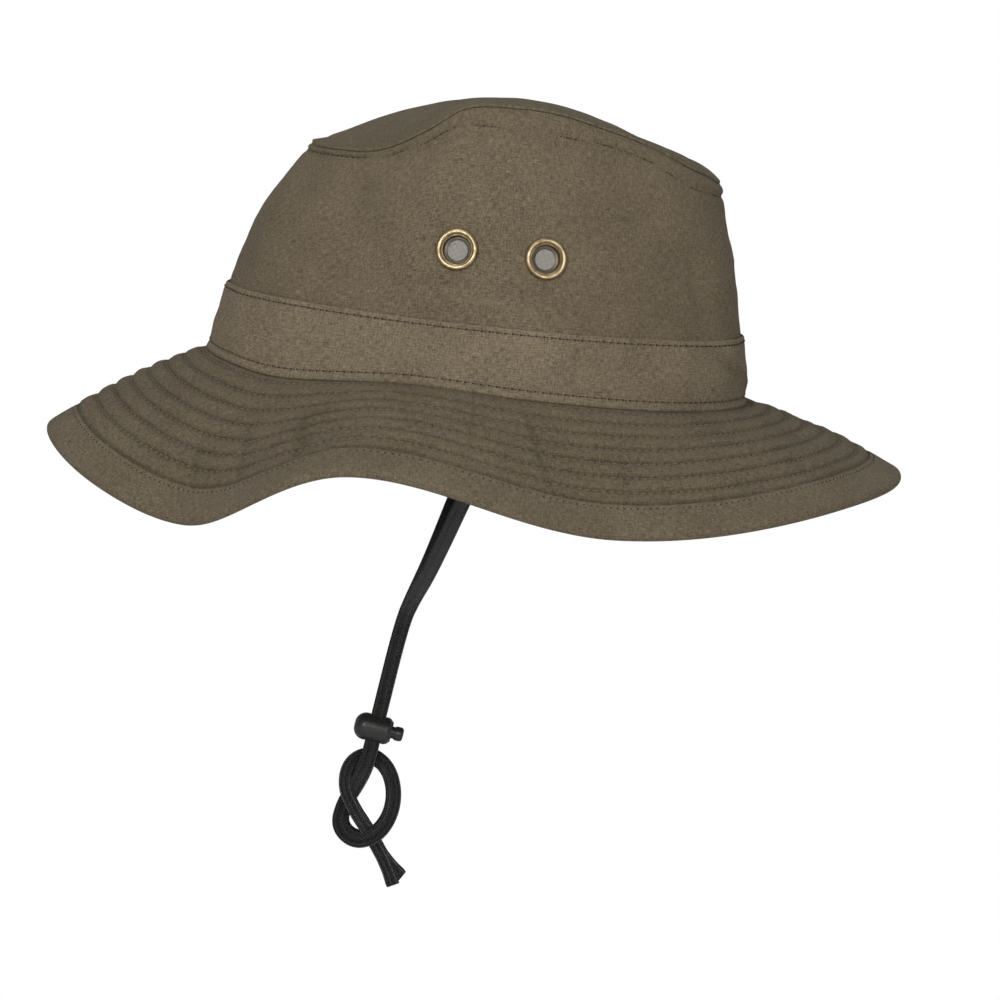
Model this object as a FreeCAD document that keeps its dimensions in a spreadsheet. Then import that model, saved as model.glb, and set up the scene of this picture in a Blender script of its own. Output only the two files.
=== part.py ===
import FreeCAD, Part
import math
import os

import Sketcher

# A boonie hat. The origin is the middle of the head opening, at the seam between crown and brim.
# +Z is up, -Y is the front of the hat and +X is the wearer's left. Every length is in millimetres.

Vector = FreeCAD.Vector
doc = FreeCAD.newDocument("boonie_hat")
sheet = doc.addObject("Spreadsheet::Sheet", "Sizes")

# ---------------------------------------------------------------- driving dimensions

SIZES = {
    # crown: outer face of the cloth wall, an oval at the brim seam and a smaller one at the top;
    # the hat band, the sweatband and the tape are each joined end to end at ring_join, in degrees
    "crown_half_length": 102.6,
    "crown_half_width": 82.0,
    "crown_cloth": 1.0,
    "top_half_length": 78.5,
    "top_half_width": 59.0,
    "top_shift_back": 6.5,
    "top_cloth": 0.9,
    "layer_gap": 0.3,
    "ring_join": 97.0,
    "end_step": 0.4,
    # hat band, sweatband and the tape over the top seam
    "band_cloth": 1.0,
    "band_low": 0.3,
    "band_high": 25.5,
    "sweatband_cloth": 1.3,
    "sweatband_low": 0.6,
    "sweatband_high": 31.0,
    "tape_cloth": 0.6,
    "tape_width": 9.0,
    "tape_below_seam": 2.0,
    # brim: three layers, and a folded binding round the edge
    "brim_width_mean": 68.2,
    "brim_width_swing": 1.4,
    "brim_camber": 2.2,
    "brim_start_out": 0.3,
    "brim_start_down": 1.6,
    "brim_cloth": 0.6,
    "brim_layer_pitch": 0.9,
    "binding_cloth": 0.6,
    "binding_width": 14.0,
    "binding_centre": 1.8,
    # vent eyelets: two on each side; depths are measured inwards from the wall's outer face
    "eyelet_front_y": -12.0,
    "eyelet_rear_y": 21.0,
    "eyelet_height": 52.0,
    "eyelet_outer": 7.9,
    "eyelet_throat": 5.6,
    "eyelet_barrel_outer": 5.5,
    "eyelet_barrel_inner": 4.9,
    "eyelet_bead": 1.6,
    "eyelet_bead_round": 1.1,
    "eyelet_seat": 0.15,
    "eyelet_throat_depth": 0.2,
    "eyelet_lip_depth": 2.7,
    "eyelet_back_depth": 3.3,
    "eyelet_lip": 3.8,
    "eyelet_curl": 6.8,
    "eyelet_hole": 5.8,
    "washer_outer": 7.7,
    "washer_inner": 5.65,
    "washer_face_depth": 1.7,
    "washer_back_depth": 2.4,
    "screen_radius": 4.8,
    "screen_thick": 0.3,
    "screen_back_depth": 2.6,
    # chin cord: a flat braid, and the patches that hold its ends
    "cord_width": 6.0,
    "cord_thick": 2.0,
    "cord_pair_offset": 1.1,
    "patch_wide": 11.0,
    "patch_tall": 8.0,
    "patch_thick": 1.0,
    "patch_angle": 6.0,
    "patch_middle_z": 4.8,
    "patch_inset": 3.5,
    # cord lock: a blind barrel, its plunger and its spring, measured from the barrel's middle
    "lock_above_knot": 5.8,
    "lock_back": 7.5,
    "lock_mouth": 7.3,
    "lock_outer": 5.35,
    "lock_bore": 3.45,
    "lock_floor": 6.3,
    "lock_back_round": 4.4,
    "lock_mouth_round": 1.6,
    "slot_half_width": 2.4,
    "lock_slot_low": 2.3,
    "lock_slot_high": 4.1,
    "cord_middle": 0.9,
    "plunger_stem": 3.35,
    "plunger_foot": 2.9,
    "plunger_shoulder": 7.1,
    "plunger_slot_low": 2.3,
    "plunger_slot_high": 6.5,
    "knob_radius": 2.8,
    "knob_top": 11.9,
    "knob_round": 1.3,
    "spring_radius": 2.3,
    "spring_wire": 0.4,
    "spring_start": 6.05,
    "spring_pitch": 1.0,
    "spring_rise": 2.75,
}


def mirrored(stations):
    """Stations of the wearer's left, from front to back, and the same ones on the right."""
    other_side = [(180 - degrees, value) for degrees, value in stations if -90 < degrees < 90]
    return stations + other_side[::-1]


# Each table gives a value at stations round the hat, in degrees: 0 is the wearer's left (+X),
# 90 the back (+Y), 180 the right and -90 the front.
TABLES = {
    "brim_droop": mirrored([(-90, 32), (-46, 50), (-16, 23), (22, 36), (66, 21), (90, 18)]),
    "seam_wave": mirrored([(-90, 0), (-66, -1.5), (-45, -3), (-14, 1.5), (10, 0.5), (40, -0.5), (90, 0)]),
    "top_seam": [(-90, 81.5), (-60, 81.5), (-40, 84.0), (-26, 93.0), (-15, 103.0), (0, 105.0),
                 (10, 104.3), (22, 101.0), (36, 96.5), (60, 87.5), (90, 82.5), (120, 88.0),
                 (144, 92.0), (165, 97.5), (180, 99.5), (204, 96.0), (225, 88.0), (247, 82.5)],
    "wall_bulge": [(-90, 6.5), (-30, 5.0), (30, 5.0), (90, 2.8), (150, 5.0), (210, 5.0)],
}

# Height of the top panel along its middle line, from front to back.
RIDGE_Y = (-72.0, -64.0, -57.0, -46.0, -35.0, -16.0, 0.0, 22.0, 40.0, 53.0, 70.0, 85.0)
RIDGE_Z = (80.5, 84.4, 87.4, 92.4, 96.9, 103.4, 105.2, 103.9, 99.9, 95.4, 89.4, 81.6)

# Route of the left chin cord. The right one mirrors it down to the lock.
# Beyond the lock both run side by side through one loose overhand knot to their tails.
CORD_FALL = [
    (77.8, 10.8, -2.5), (75.6, 9.6, -12.0), (66.5, 5.6, -26.0), (53.0, 0.2, -43.0),
    (36.5, -5.4, -61.5), (19.5, -10.8, -78.5), (6.2, -15.2, -89.5), (1.1, -18.6, -100.0),
    (1.1, -25.2, -148.0),
]
KNOT = [
    (2.4, -26.4, -156.0), (-0.8, -29.6, -165.0), (-2.8, -33.9, -173.4), (-0.5, -35.2, -182.4),
    (1.4, -27.9, -187.6), (2.6, -19.4, -184.0), (1.8, -14.6, -175.4), (0.2, -14.2, -165.4),
    (-3.0, -18.2, -156.6), (-5.2, -26.2, -152.6), (-1.6, -33.7, -156.8), (2.0, -34.6, -166.0),
    (2.8, -29.4, -174.8), (-0.4, -24.4, -181.6), (-2.6, -19.8, -188.4), (-1.2, -15.2, -195.0),
]
LEFT_TAIL = [(0.6, -11.2, -203.0)]
RIGHT_TAIL = [(-1.6, -8.4, -200.2)]
RIGHT_LOOP_INSET = 0.94
KNOT_MIDDLE = (-24.6, -170.0)


def fill_sheet():
    row = 1
    for alias, value in SIZES.items():
        sheet.set(f"A{row}", alias)
        sheet.set(f"B{row}", str(value))
        sheet.setAlias(f"B{row}", alias)
        row += 1
    for name, stations in TABLES.items():
        for station, (degrees, value) in enumerate(stations):
            alias = f"{name}_at_{station}"
            sheet.set(f"A{row}", f"{name}, {degrees} degrees")
            sheet.set(f"B{row}", str(value))
            sheet.setAlias(f"B{row}", alias)
            row += 1
    doc.recompute()


def size(alias):
    return float(sheet.get(alias))


fill_sheet()
TABLE = {
    name: [(degrees, size(f"{name}_at_{i}")) for i, (degrees, _) in enumerate(stations)]
    for name, stations in TABLES.items()
}

# ---------------------------------------------------------------- the hat's surfaces


def hermite(share, span, start, end, start_slope, end_slope):
    """Cubic from start to end with the slopes given."""
    t = share
    return ((2 * t**3 - 3 * t**2 + 1) * start + (t**3 - 2 * t**2 + t) * span * start_slope
            + (3 * t**2 - 2 * t**3) * end + (t**3 - t**2) * span * end_slope)


def around(name, degrees):
    """A table's value at any angle round the hat, smooth and periodic."""
    stations = TABLE[name]
    count = len(stations)

    def station(i):
        turns, index = divmod(i, count)
        return stations[index][0] + 360 * turns, stations[index][1]

    def slope(i):
        return (station(i + 1)[1] - station(i - 1)[1]) / (station(i + 1)[0] - station(i - 1)[0])

    turned = (degrees - stations[0][0]) % 360 + stations[0][0]
    i = max(k for k in range(count) if stations[k][0] <= turned)
    span = station(i + 1)[0] - station(i)[0]
    share = (turned - station(i)[0]) / span
    return hermite(share, span, station(i)[1], station(i + 1)[1], slope(i), slope(i + 1))


def ridge(y):
    """Height of the top panel's middle line at y."""
    last = len(RIDGE_Y) - 1

    def slope(i):
        low, high = max(i - 1, 0), min(i + 1, last)
        return (RIDGE_Z[high] - RIDGE_Z[low]) / (RIDGE_Y[high] - RIDGE_Y[low])

    y = min(max(y, RIDGE_Y[0]), RIDGE_Y[last])
    i = max(k for k in range(last) if RIDGE_Y[k] <= y)
    span = RIDGE_Y[i + 1] - RIDGE_Y[i]
    return hermite((y - RIDGE_Y[i]) / span, span, RIDGE_Z[i], RIDGE_Z[i + 1], slope(i), slope(i + 1))


def outward(degrees):
    """Level unit normal of the crown's base oval."""
    angle = math.radians(degrees)
    normal = Vector(math.cos(angle) / size("crown_half_width"),
                    math.sin(angle) / size("crown_half_length"), 0)
    return normal.normalize()


def wall_point(degrees, height, out):
    """Point on the crown wall at a height, moved out of its outer face by out."""
    angle = math.radians(degrees)
    low = around("seam_wave", degrees)
    high = around("top_seam", degrees)
    share = (height - low) / (high - low)
    base = Vector(size("crown_half_width") * math.cos(angle),
                  size("crown_half_length") * math.sin(angle), 0)
    top = Vector(size("top_half_width") * math.cos(angle),
                 size("top_shift_back") + size("top_half_length") * math.sin(angle), 0)
    bulge = around("wall_bulge", degrees) * share * (1 - share) * (3 + 2 * share)
    point = base + (top - base) * share + outward(degrees) * (bulge + out)
    return Vector(point.x, point.y, height)


def brim_width(degrees):
    return size("brim_width_mean") - size("brim_width_swing") * math.sin(math.radians(degrees))


def brim_point(degrees, run, lift):
    """Point of the brim, run along its slope from the crown seam and lift above its middle.

    The brim is cambered: it stands above a straight slope by brim_camber half way out.
    """
    droop = math.radians(around("brim_droop", degrees))
    start = wall_point(degrees, around("seam_wave", degrees), size("brim_start_out"))
    start.z -= size("brim_start_down")
    share = run / brim_width(degrees)
    lift += 4 * size("brim_camber") * share * (1 - share)
    level = run * math.cos(droop) + lift * math.sin(droop)
    return start + outward(degrees) * level + Vector(0, 0, lift * math.cos(droop) - run * math.sin(droop))


def top_point(across, along, lift):
    """Point of the top panel; across and along run from -1 to 1 and fill an oval."""
    disc_x = across * math.sqrt(1 - along**2 / 2)
    disc_y = along * math.sqrt(1 - across**2 / 2)
    y = size("top_shift_back") + size("top_half_length") * disc_y
    degrees = math.degrees(math.asin(disc_y))
    left = around("top_seam", degrees)
    right = around("top_seam", 180 - degrees)
    middle = ridge(y)
    share = disc_x / max(math.sqrt(1 - disc_y**2), 1e-3)
    share = min(max(share, -1), 1)
    z = middle + (left - right) / 2 * share + ((left + right) / 2 - middle) * share**2
    return Vector(size("top_half_width") * disc_x, y, z + lift)


def spread(start, end, count):
    return [start + (end - start) * i / (count - 1) for i in range(count)]


# ---------------------------------------------------------------- sheets of cloth


def cloth_solid(face_points, back_points):
    """Closed solid between two grids of points: a smooth face, a smooth back and four edges."""
    surfaces = []
    for points in (face_points, back_points):
        surface = Part.BSplineSurface()
        surface.interpolate(points)
        surfaces.append(surface)
    face, back = surfaces
    u_low, u_high, v_low, v_high = face.bounds()
    sides = [(face.uIso(u_low), back.uIso(back.bounds()[0])),
             (face.uIso(u_high), back.uIso(back.bounds()[1])),
             (face.vIso(v_low), back.vIso(back.bounds()[2])),
             (face.vIso(v_high), back.vIso(back.bounds()[3]))]
    faces = [face.toShape(), back.toShape()]
    faces += [Part.makeRuledSurface(one.toShape(), two.toShape()) for one, two in sides]
    shell = Part.makeShell(faces)
    shell.sewShape()
    solid = Part.makeSolid(shell)
    if solid.Volume < 0:
        solid.reverse()
    return solid


def add_shape(name, shape):
    piece = doc.addObject("Part::Feature", name)
    piece.Label = name
    piece.Shape = shape
    piece.Placement = FreeCAD.Placement()
    return piece


def wall_strip(angles, heights, out_low, out_high):
    """Strip that follows the crown wall; heights gives its low and high edge at an angle."""
    grids = []
    for out in (out_high, out_low):
        grids.append([[wall_point(a, z, out) for z in spread(*heights(a), 15)] for a in angles])
    return cloth_solid(*grids)


def brim_strip(angles, low_lift, high_lift):
    inset = size("binding_centre")
    grids = []
    for lift in (high_lift, low_lift):
        grids.append([[brim_point(a, run, lift) for run in spread(0, brim_width(a) - inset, 9)]
                      for a in angles])
    return cloth_solid(*grids)


def side_angle(side, degrees):
    """An angle counted from the wearer's left, or the same place on the right."""
    return degrees if side == "left" else 180 - degrees


def wall_facing(degrees, height):
    """Outward unit direction that the wall faces."""
    step = 2.0
    along = wall_point(degrees + step, height, 0) - wall_point(degrees - step, height, 0)
    up = wall_point(degrees, height + step, 0) - wall_point(degrees, height - step, 0)
    return along.cross(up).normalize()


def angle_at(side, y, height):
    """Angle at which the wall on one side passes a given y, found by halving."""
    low, high = -60.0, 60.0
    for _ in range(40):
        middle = (low + high) / 2
        if wall_point(side_angle(side, middle), height, 0).y < y:
            low = middle
        else:
            high = middle
    return side_angle(side, middle)


EYELETS = {}
for side in ("left", "right"):
    for end in ("front", "rear"):
        height = size("eyelet_height")
        degrees = angle_at(side, size(f"eyelet_{end}_y"), height)
        EYELETS[f"{side}_{end}"] = (wall_point(degrees, height, 0), wall_facing(degrees, height))


def punched(wall, side):
    """The wall with its two eyelet holes."""
    for name, (place, direction) in EYELETS.items():
        if name.startswith(side):
            reach = 10
            hole = Part.makeCylinder(size("eyelet_hole"), 2 * reach,
                                     place - direction * reach, direction)
            wall = wall.cut(hole)
    return wall.Solids[0]


def build_crown():
    cloth = size("crown_cloth")
    gap = size("layer_gap")

    def whole(a):
        return around("seam_wave", a), around("top_seam", a)

    seam = 0.1
    for side, start in (("left", -90), ("right", 90)):
        angles = spread(start + seam, start + 180 - seam, 61)
        wall = wall_strip(angles, whole, -cloth, 0)
        add_shape(f"crown_wall_{side}", punched(wall, side))

    cuts = spread(-1, 1, 17)
    low = gap
    high = gap + size("top_cloth")
    panel = cloth_solid([[top_point(a, b, high) for b in cuts] for a in cuts],
                        [[top_point(a, b, low) for b in cuts] for a in cuts])
    add_shape("crown_top", panel)

    def under_seam(a):
        edge = around("top_seam", a) - size("tape_below_seam")
        return edge - size("tape_width"), edge

    join = size("ring_join")
    first, last = join + seam, join + 360 - seam
    ring = [first, *spread(first + size("end_step"), last - size("end_step"), 121), last]
    tape_out = -cloth - gap
    add_shape("crown_seam_tape", wall_strip(ring, under_seam, tape_out - size("tape_cloth"), tape_out))

    def band_edges(a):
        return around("seam_wave", a) + size("band_low"), size("band_high")

    add_shape("hat_band", wall_strip(ring, band_edges, gap, gap + size("band_cloth")))

    def sweatband_edges(a):
        low_edge = around("seam_wave", a) + size("sweatband_low")
        return low_edge, low_edge + size("sweatband_high") - size("sweatband_low")

    add_shape("sweatband", wall_strip(ring, sweatband_edges,
                                      tape_out - size("sweatband_cloth"), tape_out))


def build_brim():
    seam = 0.08
    half_cloth = size("brim_cloth") / 2
    pitch = size("brim_layer_pitch")
    for half, start in (("front", 180), ("rear", 0)):
        angles = spread(start + seam, start + 180 - seam, 81)
        add_shape(f"brim_upper_{half}", brim_strip(angles, pitch - half_cloth, pitch + half_cloth))
        add_shape(f"brim_under_{half}", brim_strip(angles, -pitch - half_cloth, half_cloth - pitch))
    ring = spread(90 + seam, 450 - seam, 161)
    add_shape("brim_interlining", brim_strip(ring, -half_cloth, half_cloth))

    centre = size("binding_centre")
    reach = size("binding_width")

    def fold(a, radius):
        """Section of the binding: along the top, round the brim's edge and back underneath."""
        edge = brim_width(a) - centre
        flat = [(run, radius) for run in spread(edge + centre - reach, edge, 12)[:-1]]
        turn = [(edge + radius * math.cos(t), radius * math.sin(t))
                for t in spread(math.pi / 2, -math.pi / 2, 7)]
        return flat + turn + [(run, -lift) for run, lift in reversed(flat)]

    grids = []
    for radius in (centre + size("binding_cloth") / 2, centre - size("binding_cloth") / 2):
        grids.append([[brim_point(a, run, lift) for run, lift in fold(a, radius)] for a in ring])
    add_shape("brim_binding", cloth_solid(*grids))


# ---------------------------------------------------------------- turned and moulded pieces


def add_sketch(body, name, plane):
    sketch = body.newObject("Sketcher::SketchObject", name)
    origin = [f for f in body.Origin.OriginFeatures if f.Role == plane][0]
    sketch.AttachmentSupport = [(origin, "")]
    sketch.MapMode = "FlatFace"
    return sketch


def coordinate(word):
    """Value and expression of a corner's coordinate: an alias, a negative alias, or the axis."""
    alias = word.lstrip("-")
    sign = -1 if word.startswith("-") else 1
    if alias == "axis":
        return 0.0, None
    return sign * size(alias), f"{sign} * Sizes.{alias}"


def draw_profile(sketch, corners):
    """Closed straight-sided profile, each corner held at sizes of the sheet."""
    places = [(coordinate(x), coordinate(y)) for x, y in corners]
    points = [Vector(x[0], y[0], 0) for x, y in places]
    count = len(points)
    for i in range(count):
        sketch.addGeometry(Part.LineSegment(points[i], points[(i + 1) % count]), False)
    for i in range(count):
        sketch.addConstraint(Sketcher.Constraint("Coincident", i, 2, (i + 1) % count, 1))
    for i, pair in enumerate(places):
        for kind, (value, rule) in zip(("DistanceX", "DistanceY"), pair):
            held = sketch.addConstraint(Sketcher.Constraint(kind, -1, 1, i, 1, value))
            if rule:
                sketch.setExpression(f"Constraints[{held}]", rule)


def turned_body(name, corners):
    """Body turned about its own Z axis from a profile of (radius, height) corners."""
    body = doc.addObject("PartDesign::Body", name)
    body.Label = name
    sketch = add_sketch(body, f"{name}_profile", "XZ_Plane")
    draw_profile(sketch, corners)
    turned = body.newObject("PartDesign::Revolution", f"{name}_turned")
    turned.Profile = sketch
    turned.ReferenceAxis = (sketch, ["V_Axis"])
    turned.Angle = 360
    doc.recompute()
    return body


def round_edges(body, name, radius, places):
    """Fillet the circular edges at the given (radius, height) aliases."""
    base = body.Tip
    chosen = []
    for number, edge in enumerate(base.Shape.Edges):
        for across, height in places:
            curve = edge.Curve
            if (isinstance(curve, Part.Circle)
                    and abs(curve.Radius - coordinate(across)[0]) < 1e-3
                    and abs(curve.Center.z - coordinate(height)[0]) < 1e-3):
                chosen.append(f"Edge{number + 1}")
    fillet = body.newObject("PartDesign::Fillet", name)
    fillet.Base = (base, chosen)
    fillet.setExpression("Radius", f"Sizes.{radius}")
    doc.recompute()


def cut_slot(body, name, low, high):
    """Slot right through along Y, for both strands of the cord."""
    before = body.Shape.Volume
    sketch = add_sketch(body, f"{name}_slot_outline", "XZ_Plane")
    half = "slot_half_width"
    draw_profile(sketch, [(f"-{half}", low), (half, low), (half, high), (f"-{half}", high)])
    slot = body.newObject("PartDesign::Pocket", f"{name}_slot")
    slot.Profile = sketch
    slot.Type = 1
    slot.Midplane = True
    doc.recompute()
    if body.Shape.Volume > before - 1:
        raise RuntimeError(f"{name}: the slot cut nothing")


def build_eyelets():
    for name, (place, direction) in EYELETS.items():
        seat = FreeCAD.Placement(place, FreeCAD.Rotation(Vector(0, 0, 1), direction))
        eyelet = turned_body(f"eyelet_{name}", [
            ("eyelet_barrel_outer", "eyelet_seat"), ("eyelet_outer", "eyelet_seat"),
            ("eyelet_outer", "eyelet_bead"), ("eyelet_throat", "eyelet_bead"),
            ("eyelet_barrel_inner", "-eyelet_throat_depth"),
            ("eyelet_barrel_inner", "-eyelet_lip_depth"), ("eyelet_lip", "-eyelet_lip_depth"),
            ("eyelet_lip", "-eyelet_back_depth"), ("eyelet_curl", "-eyelet_back_depth"),
            ("eyelet_curl", "-eyelet_lip_depth"), ("eyelet_barrel_outer", "-eyelet_lip_depth")])
        round_edges(eyelet, f"eyelet_{name}_bead", "eyelet_bead_round",
                    [("eyelet_outer", "eyelet_bead"), ("eyelet_throat", "eyelet_bead")])
        eyelet.Placement = seat
        washer = turned_body(f"eyelet_washer_{name}", [
            ("washer_inner", "-washer_face_depth"), ("washer_outer", "-washer_face_depth"),
            ("washer_outer", "-washer_back_depth"), ("washer_inner", "-washer_back_depth")])
        washer.Placement = seat
        screen = doc.addObject("Part::Cylinder", f"eyelet_screen_{name}")
        screen.Label = f"eyelet_screen_{name}"
        screen.setExpression("Radius", "Sizes.screen_radius")
        screen.setExpression("Height", "Sizes.screen_thick")
        sunk = FreeCAD.Placement(Vector(0, 0, -size("screen_back_depth")), FreeCAD.Rotation())
        screen.Placement = seat.multiply(sunk)


def build_cord_patches():
    wide, tall, thick = size("patch_wide"), size("patch_tall"), size("patch_thick")
    for side in ("left", "right"):
        degrees = side_angle(side, size("patch_angle"))
        height = size("patch_middle_z")
        facing = wall_facing(degrees, height)
        middle = wall_point(degrees, height, 0) - facing * size("patch_inset")
        patch = doc.addObject("Part::Box", f"cord_patch_{side}")
        patch.Label = f"cord_patch_{side}"
        patch.setExpression("Length", "Sizes.patch_thick")
        patch.setExpression("Width", "Sizes.patch_wide")
        patch.setExpression("Height", "Sizes.patch_tall")
        level = Vector(0, 0, 1).cross(facing).normalize()
        turn = FreeCAD.Rotation(facing, level, facing.cross(level), "XYZ")
        corner = FreeCAD.Placement(Vector(-thick / 2, -wide / 2, -tall / 2), FreeCAD.Rotation())
        patch.Placement = FreeCAD.Placement(middle, turn).multiply(corner)
        print(f"cord_patch_{side}: middle {middle.x:.1f}, {middle.y:.1f}, {middle.z:.1f}")


# ---------------------------------------------------------------- chin cord and its lock


def left_route():
    shift = size("cord_pair_offset")
    loose = [(x + shift, y, z) for x, y, z in KNOT + LEFT_TAIL]
    return [Vector(*p) for p in CORD_FALL + loose]


def right_route():
    """The right cord mirrors the left as far as the lock, then runs just inside its loops."""
    shift = size("cord_pair_offset")
    fall = [(-x, y, z) for x, y, z in CORD_FALL]
    middle_y, middle_z = KNOT_MIDDLE
    loops = [(x - shift, middle_y + (y - middle_y) * RIGHT_LOOP_INSET,
              middle_z + (z - middle_z) * RIGHT_LOOP_INSET) for x, y, z in KNOT]
    tail = [(x - shift, y, z) for x, y, z in RIGHT_TAIL]
    return [Vector(*p) for p in fall + loops + tail]


def rounded_path(points):
    """Straight runs joined by tangent arcs, each arc as large as its two runs allow."""
    edges = []
    radii = []
    start = points[0]
    for before, corner, after in zip(points, points[1:], points[2:]):
        back = before - corner
        ahead = after - corner
        reach = 0.45 * min(back.Length, ahead.Length)
        back.normalize()
        ahead.normalize()
        half_turn = (math.pi - back.getAngle(ahead)) / 2
        radius = reach / math.tan(half_turn)
        radii.append(radius)
        first = corner + back * reach
        last = corner + ahead * reach
        inward = (back + ahead).normalize()
        middle = corner + inward * (radius / math.cos(half_turn) - radius)
        edges.append(Part.LineSegment(start, first).toShape())
        edges.append(Part.Arc(first, middle, last).toShape())
        start = last
    edges.append(Part.LineSegment(start, points[-1]).toShape())
    return Part.Wire(edges), radii


def build_cord(name, points):
    path, radii = rounded_path(points)
    ahead = (points[1] - points[0]).normalize()
    face = Vector(1, 0, 0)
    across = ahead.cross(face).normalize()
    through = across.cross(ahead).normalize()
    across = across * (size("cord_width") / 2)
    through = through * (size("cord_thick") / 2)
    start = points[0]
    ring = [start + across + through, start - across + through,
            start - across - through, start + across - through]
    section = Part.makePolygon(ring + ring[:1])
    sweep = Part.BRepOffsetAPI.MakePipeShell(path)
    sweep.setFrenetMode(False)
    sweep.add(section, False, False)
    sweep.build()
    sweep.makeSolid()
    solid = sweep.shape().Solids[0]
    expected = size("cord_width") * size("cord_thick") * path.Length
    print(f"{name}: {path.Length:.1f} mm long, radii {min(radii):.1f} to {max(radii):.1f} mm, "
          f"volume {solid.Volume / expected:.3f} of section times length")
    print("  radii", " ".join(f"{r:.0f}" for r in radii))
    add_shape(name, solid)


def build_lock():
    top = Vector(*CORD_FALL[-2])
    end = Vector(*CORD_FALL[-1])
    top.x = end.x = 0
    up = (top - end).normalize()
    lean = math.degrees(math.atan2(up.y, up.z))
    turn = FreeCAD.Rotation(Vector(1, 0, 0), -90 - lean)
    on_cord = end + up * size("lock_above_knot")
    middle = on_cord - turn.multVec(Vector(0, 0, 1)) * size("cord_middle")
    place = FreeCAD.Placement(middle, turn)

    barrel = turned_body("cord_lock_barrel", [
        ("axis", "-lock_back"), ("lock_outer", "-lock_back"), ("lock_outer", "lock_mouth"),
        ("lock_bore", "lock_mouth"), ("lock_bore", "-lock_floor"), ("axis", "-lock_floor")])
    round_edges(barrel, "cord_lock_back_round", "lock_back_round", [("lock_outer", "-lock_back")])
    round_edges(barrel, "cord_lock_mouth_round", "lock_mouth_round", [("lock_outer", "lock_mouth")])
    cut_slot(barrel, "cord_lock_barrel", "-lock_slot_low", "lock_slot_high")
    barrel.Placement = place

    plunger = turned_body("cord_lock_plunger", [
        ("axis", "-plunger_foot"), ("plunger_stem", "-plunger_foot"),
        ("plunger_stem", "plunger_shoulder"), ("knob_radius", "plunger_shoulder"),
        ("knob_radius", "knob_top"), ("axis", "knob_top")])
    round_edges(plunger, "cord_lock_knob_round", "knob_round", [("knob_radius", "knob_top")])
    cut_slot(plunger, "cord_lock_plunger", "-plunger_slot_low", "plunger_slot_high")
    plunger.Placement = place

    spring = doc.addObject("PartDesign::Body", "cord_lock_spring")
    spring.Label = "cord_lock_spring"
    wire = add_sketch(spring, "cord_lock_spring_wire", "XZ_Plane")
    circle = Part.Circle(Vector(size("spring_radius"), -size("spring_start"), 0), Vector(0, 0, 1),
                         size("spring_wire") / 2)
    wire.addGeometry(circle, False)
    for kind, rule, value in (("DistanceX", "Sizes.spring_radius", size("spring_radius")),
                              ("DistanceY", "-1 * Sizes.spring_start", -size("spring_start"))):
        held = wire.addConstraint(Sketcher.Constraint(kind, -1, 1, 0, 3, value))
        wire.setExpression(f"Constraints[{held}]", rule)
    held = wire.addConstraint(Sketcher.Constraint("Radius", 0, size("spring_wire") / 2))
    wire.setExpression(f"Constraints[{held}]", "Sizes.spring_wire / 2")
    coil = spring.newObject("PartDesign::AdditiveHelix", "cord_lock_spring_coil")
    coil.Profile = wire
    coil.ReferenceAxis = (wire, ["V_Axis"])
    coil.Mode = 0
    coil.setExpression("Pitch", "Sizes.spring_pitch")
    coil.setExpression("Height", "Sizes.spring_rise")
    spring.Placement = place
    doc.recompute()


# ---------------------------------------------------------------- build, test and write

build_crown()
build_brim()
build_eyelets()
build_cord_patches()
build_cord("chin_cord_left", left_route())
build_cord("chin_cord_right", right_route())
build_lock()
doc.recompute()

PIECE_TYPES = ("Part::Feature", "Part::Cylinder", "Part::Box", "PartDesign::Body")
pieces = [o for o in doc.Objects if o.TypeId in PIECE_TYPES]
for thing in doc.Objects:
    if "Invalid" in thing.State or "Error" in thing.State:
        raise RuntimeError(f"{thing.Name} failed: {thing.State}")
for piece in pieces:
    if piece.Shape.isNull() or not piece.Shape.isValid():
        raise RuntimeError(f"{piece.Label} has no valid shape")

os.makedirs("parts", exist_ok=True)
for piece in pieces:
    piece.Shape.exportStep(f"parts/{piece.Label}.step")
    print(f"{piece.Label}: {len(piece.Shape.Solids)} solid, {piece.Shape.Volume:.1f} mm3")
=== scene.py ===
import math
from functools import lru_cache

import bmesh
import bpy
from mathutils import Matrix, Vector, noise


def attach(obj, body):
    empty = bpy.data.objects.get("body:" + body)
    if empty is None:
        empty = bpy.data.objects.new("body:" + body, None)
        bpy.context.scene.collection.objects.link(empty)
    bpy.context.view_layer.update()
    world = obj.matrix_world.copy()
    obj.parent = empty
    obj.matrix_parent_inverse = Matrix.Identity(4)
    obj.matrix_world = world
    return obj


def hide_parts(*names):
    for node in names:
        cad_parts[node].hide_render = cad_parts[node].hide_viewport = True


# A boonie hat of washed cotton. The frame is the part's own: the origin is the middle of the head
# opening, +Z is up, -Y is the front and +X the wearer's left. Patterns are drafted in millimetres
# and each mesh is scaled to metres once, when it is made.

MM = 0.001

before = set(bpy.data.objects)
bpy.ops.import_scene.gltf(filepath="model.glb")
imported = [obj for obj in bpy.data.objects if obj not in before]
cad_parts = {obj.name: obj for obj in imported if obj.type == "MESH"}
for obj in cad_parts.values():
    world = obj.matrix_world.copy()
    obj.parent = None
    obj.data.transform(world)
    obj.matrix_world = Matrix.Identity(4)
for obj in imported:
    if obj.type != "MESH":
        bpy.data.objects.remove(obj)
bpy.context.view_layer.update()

# ---------------------------------------------------------------- pattern sizes

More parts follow.
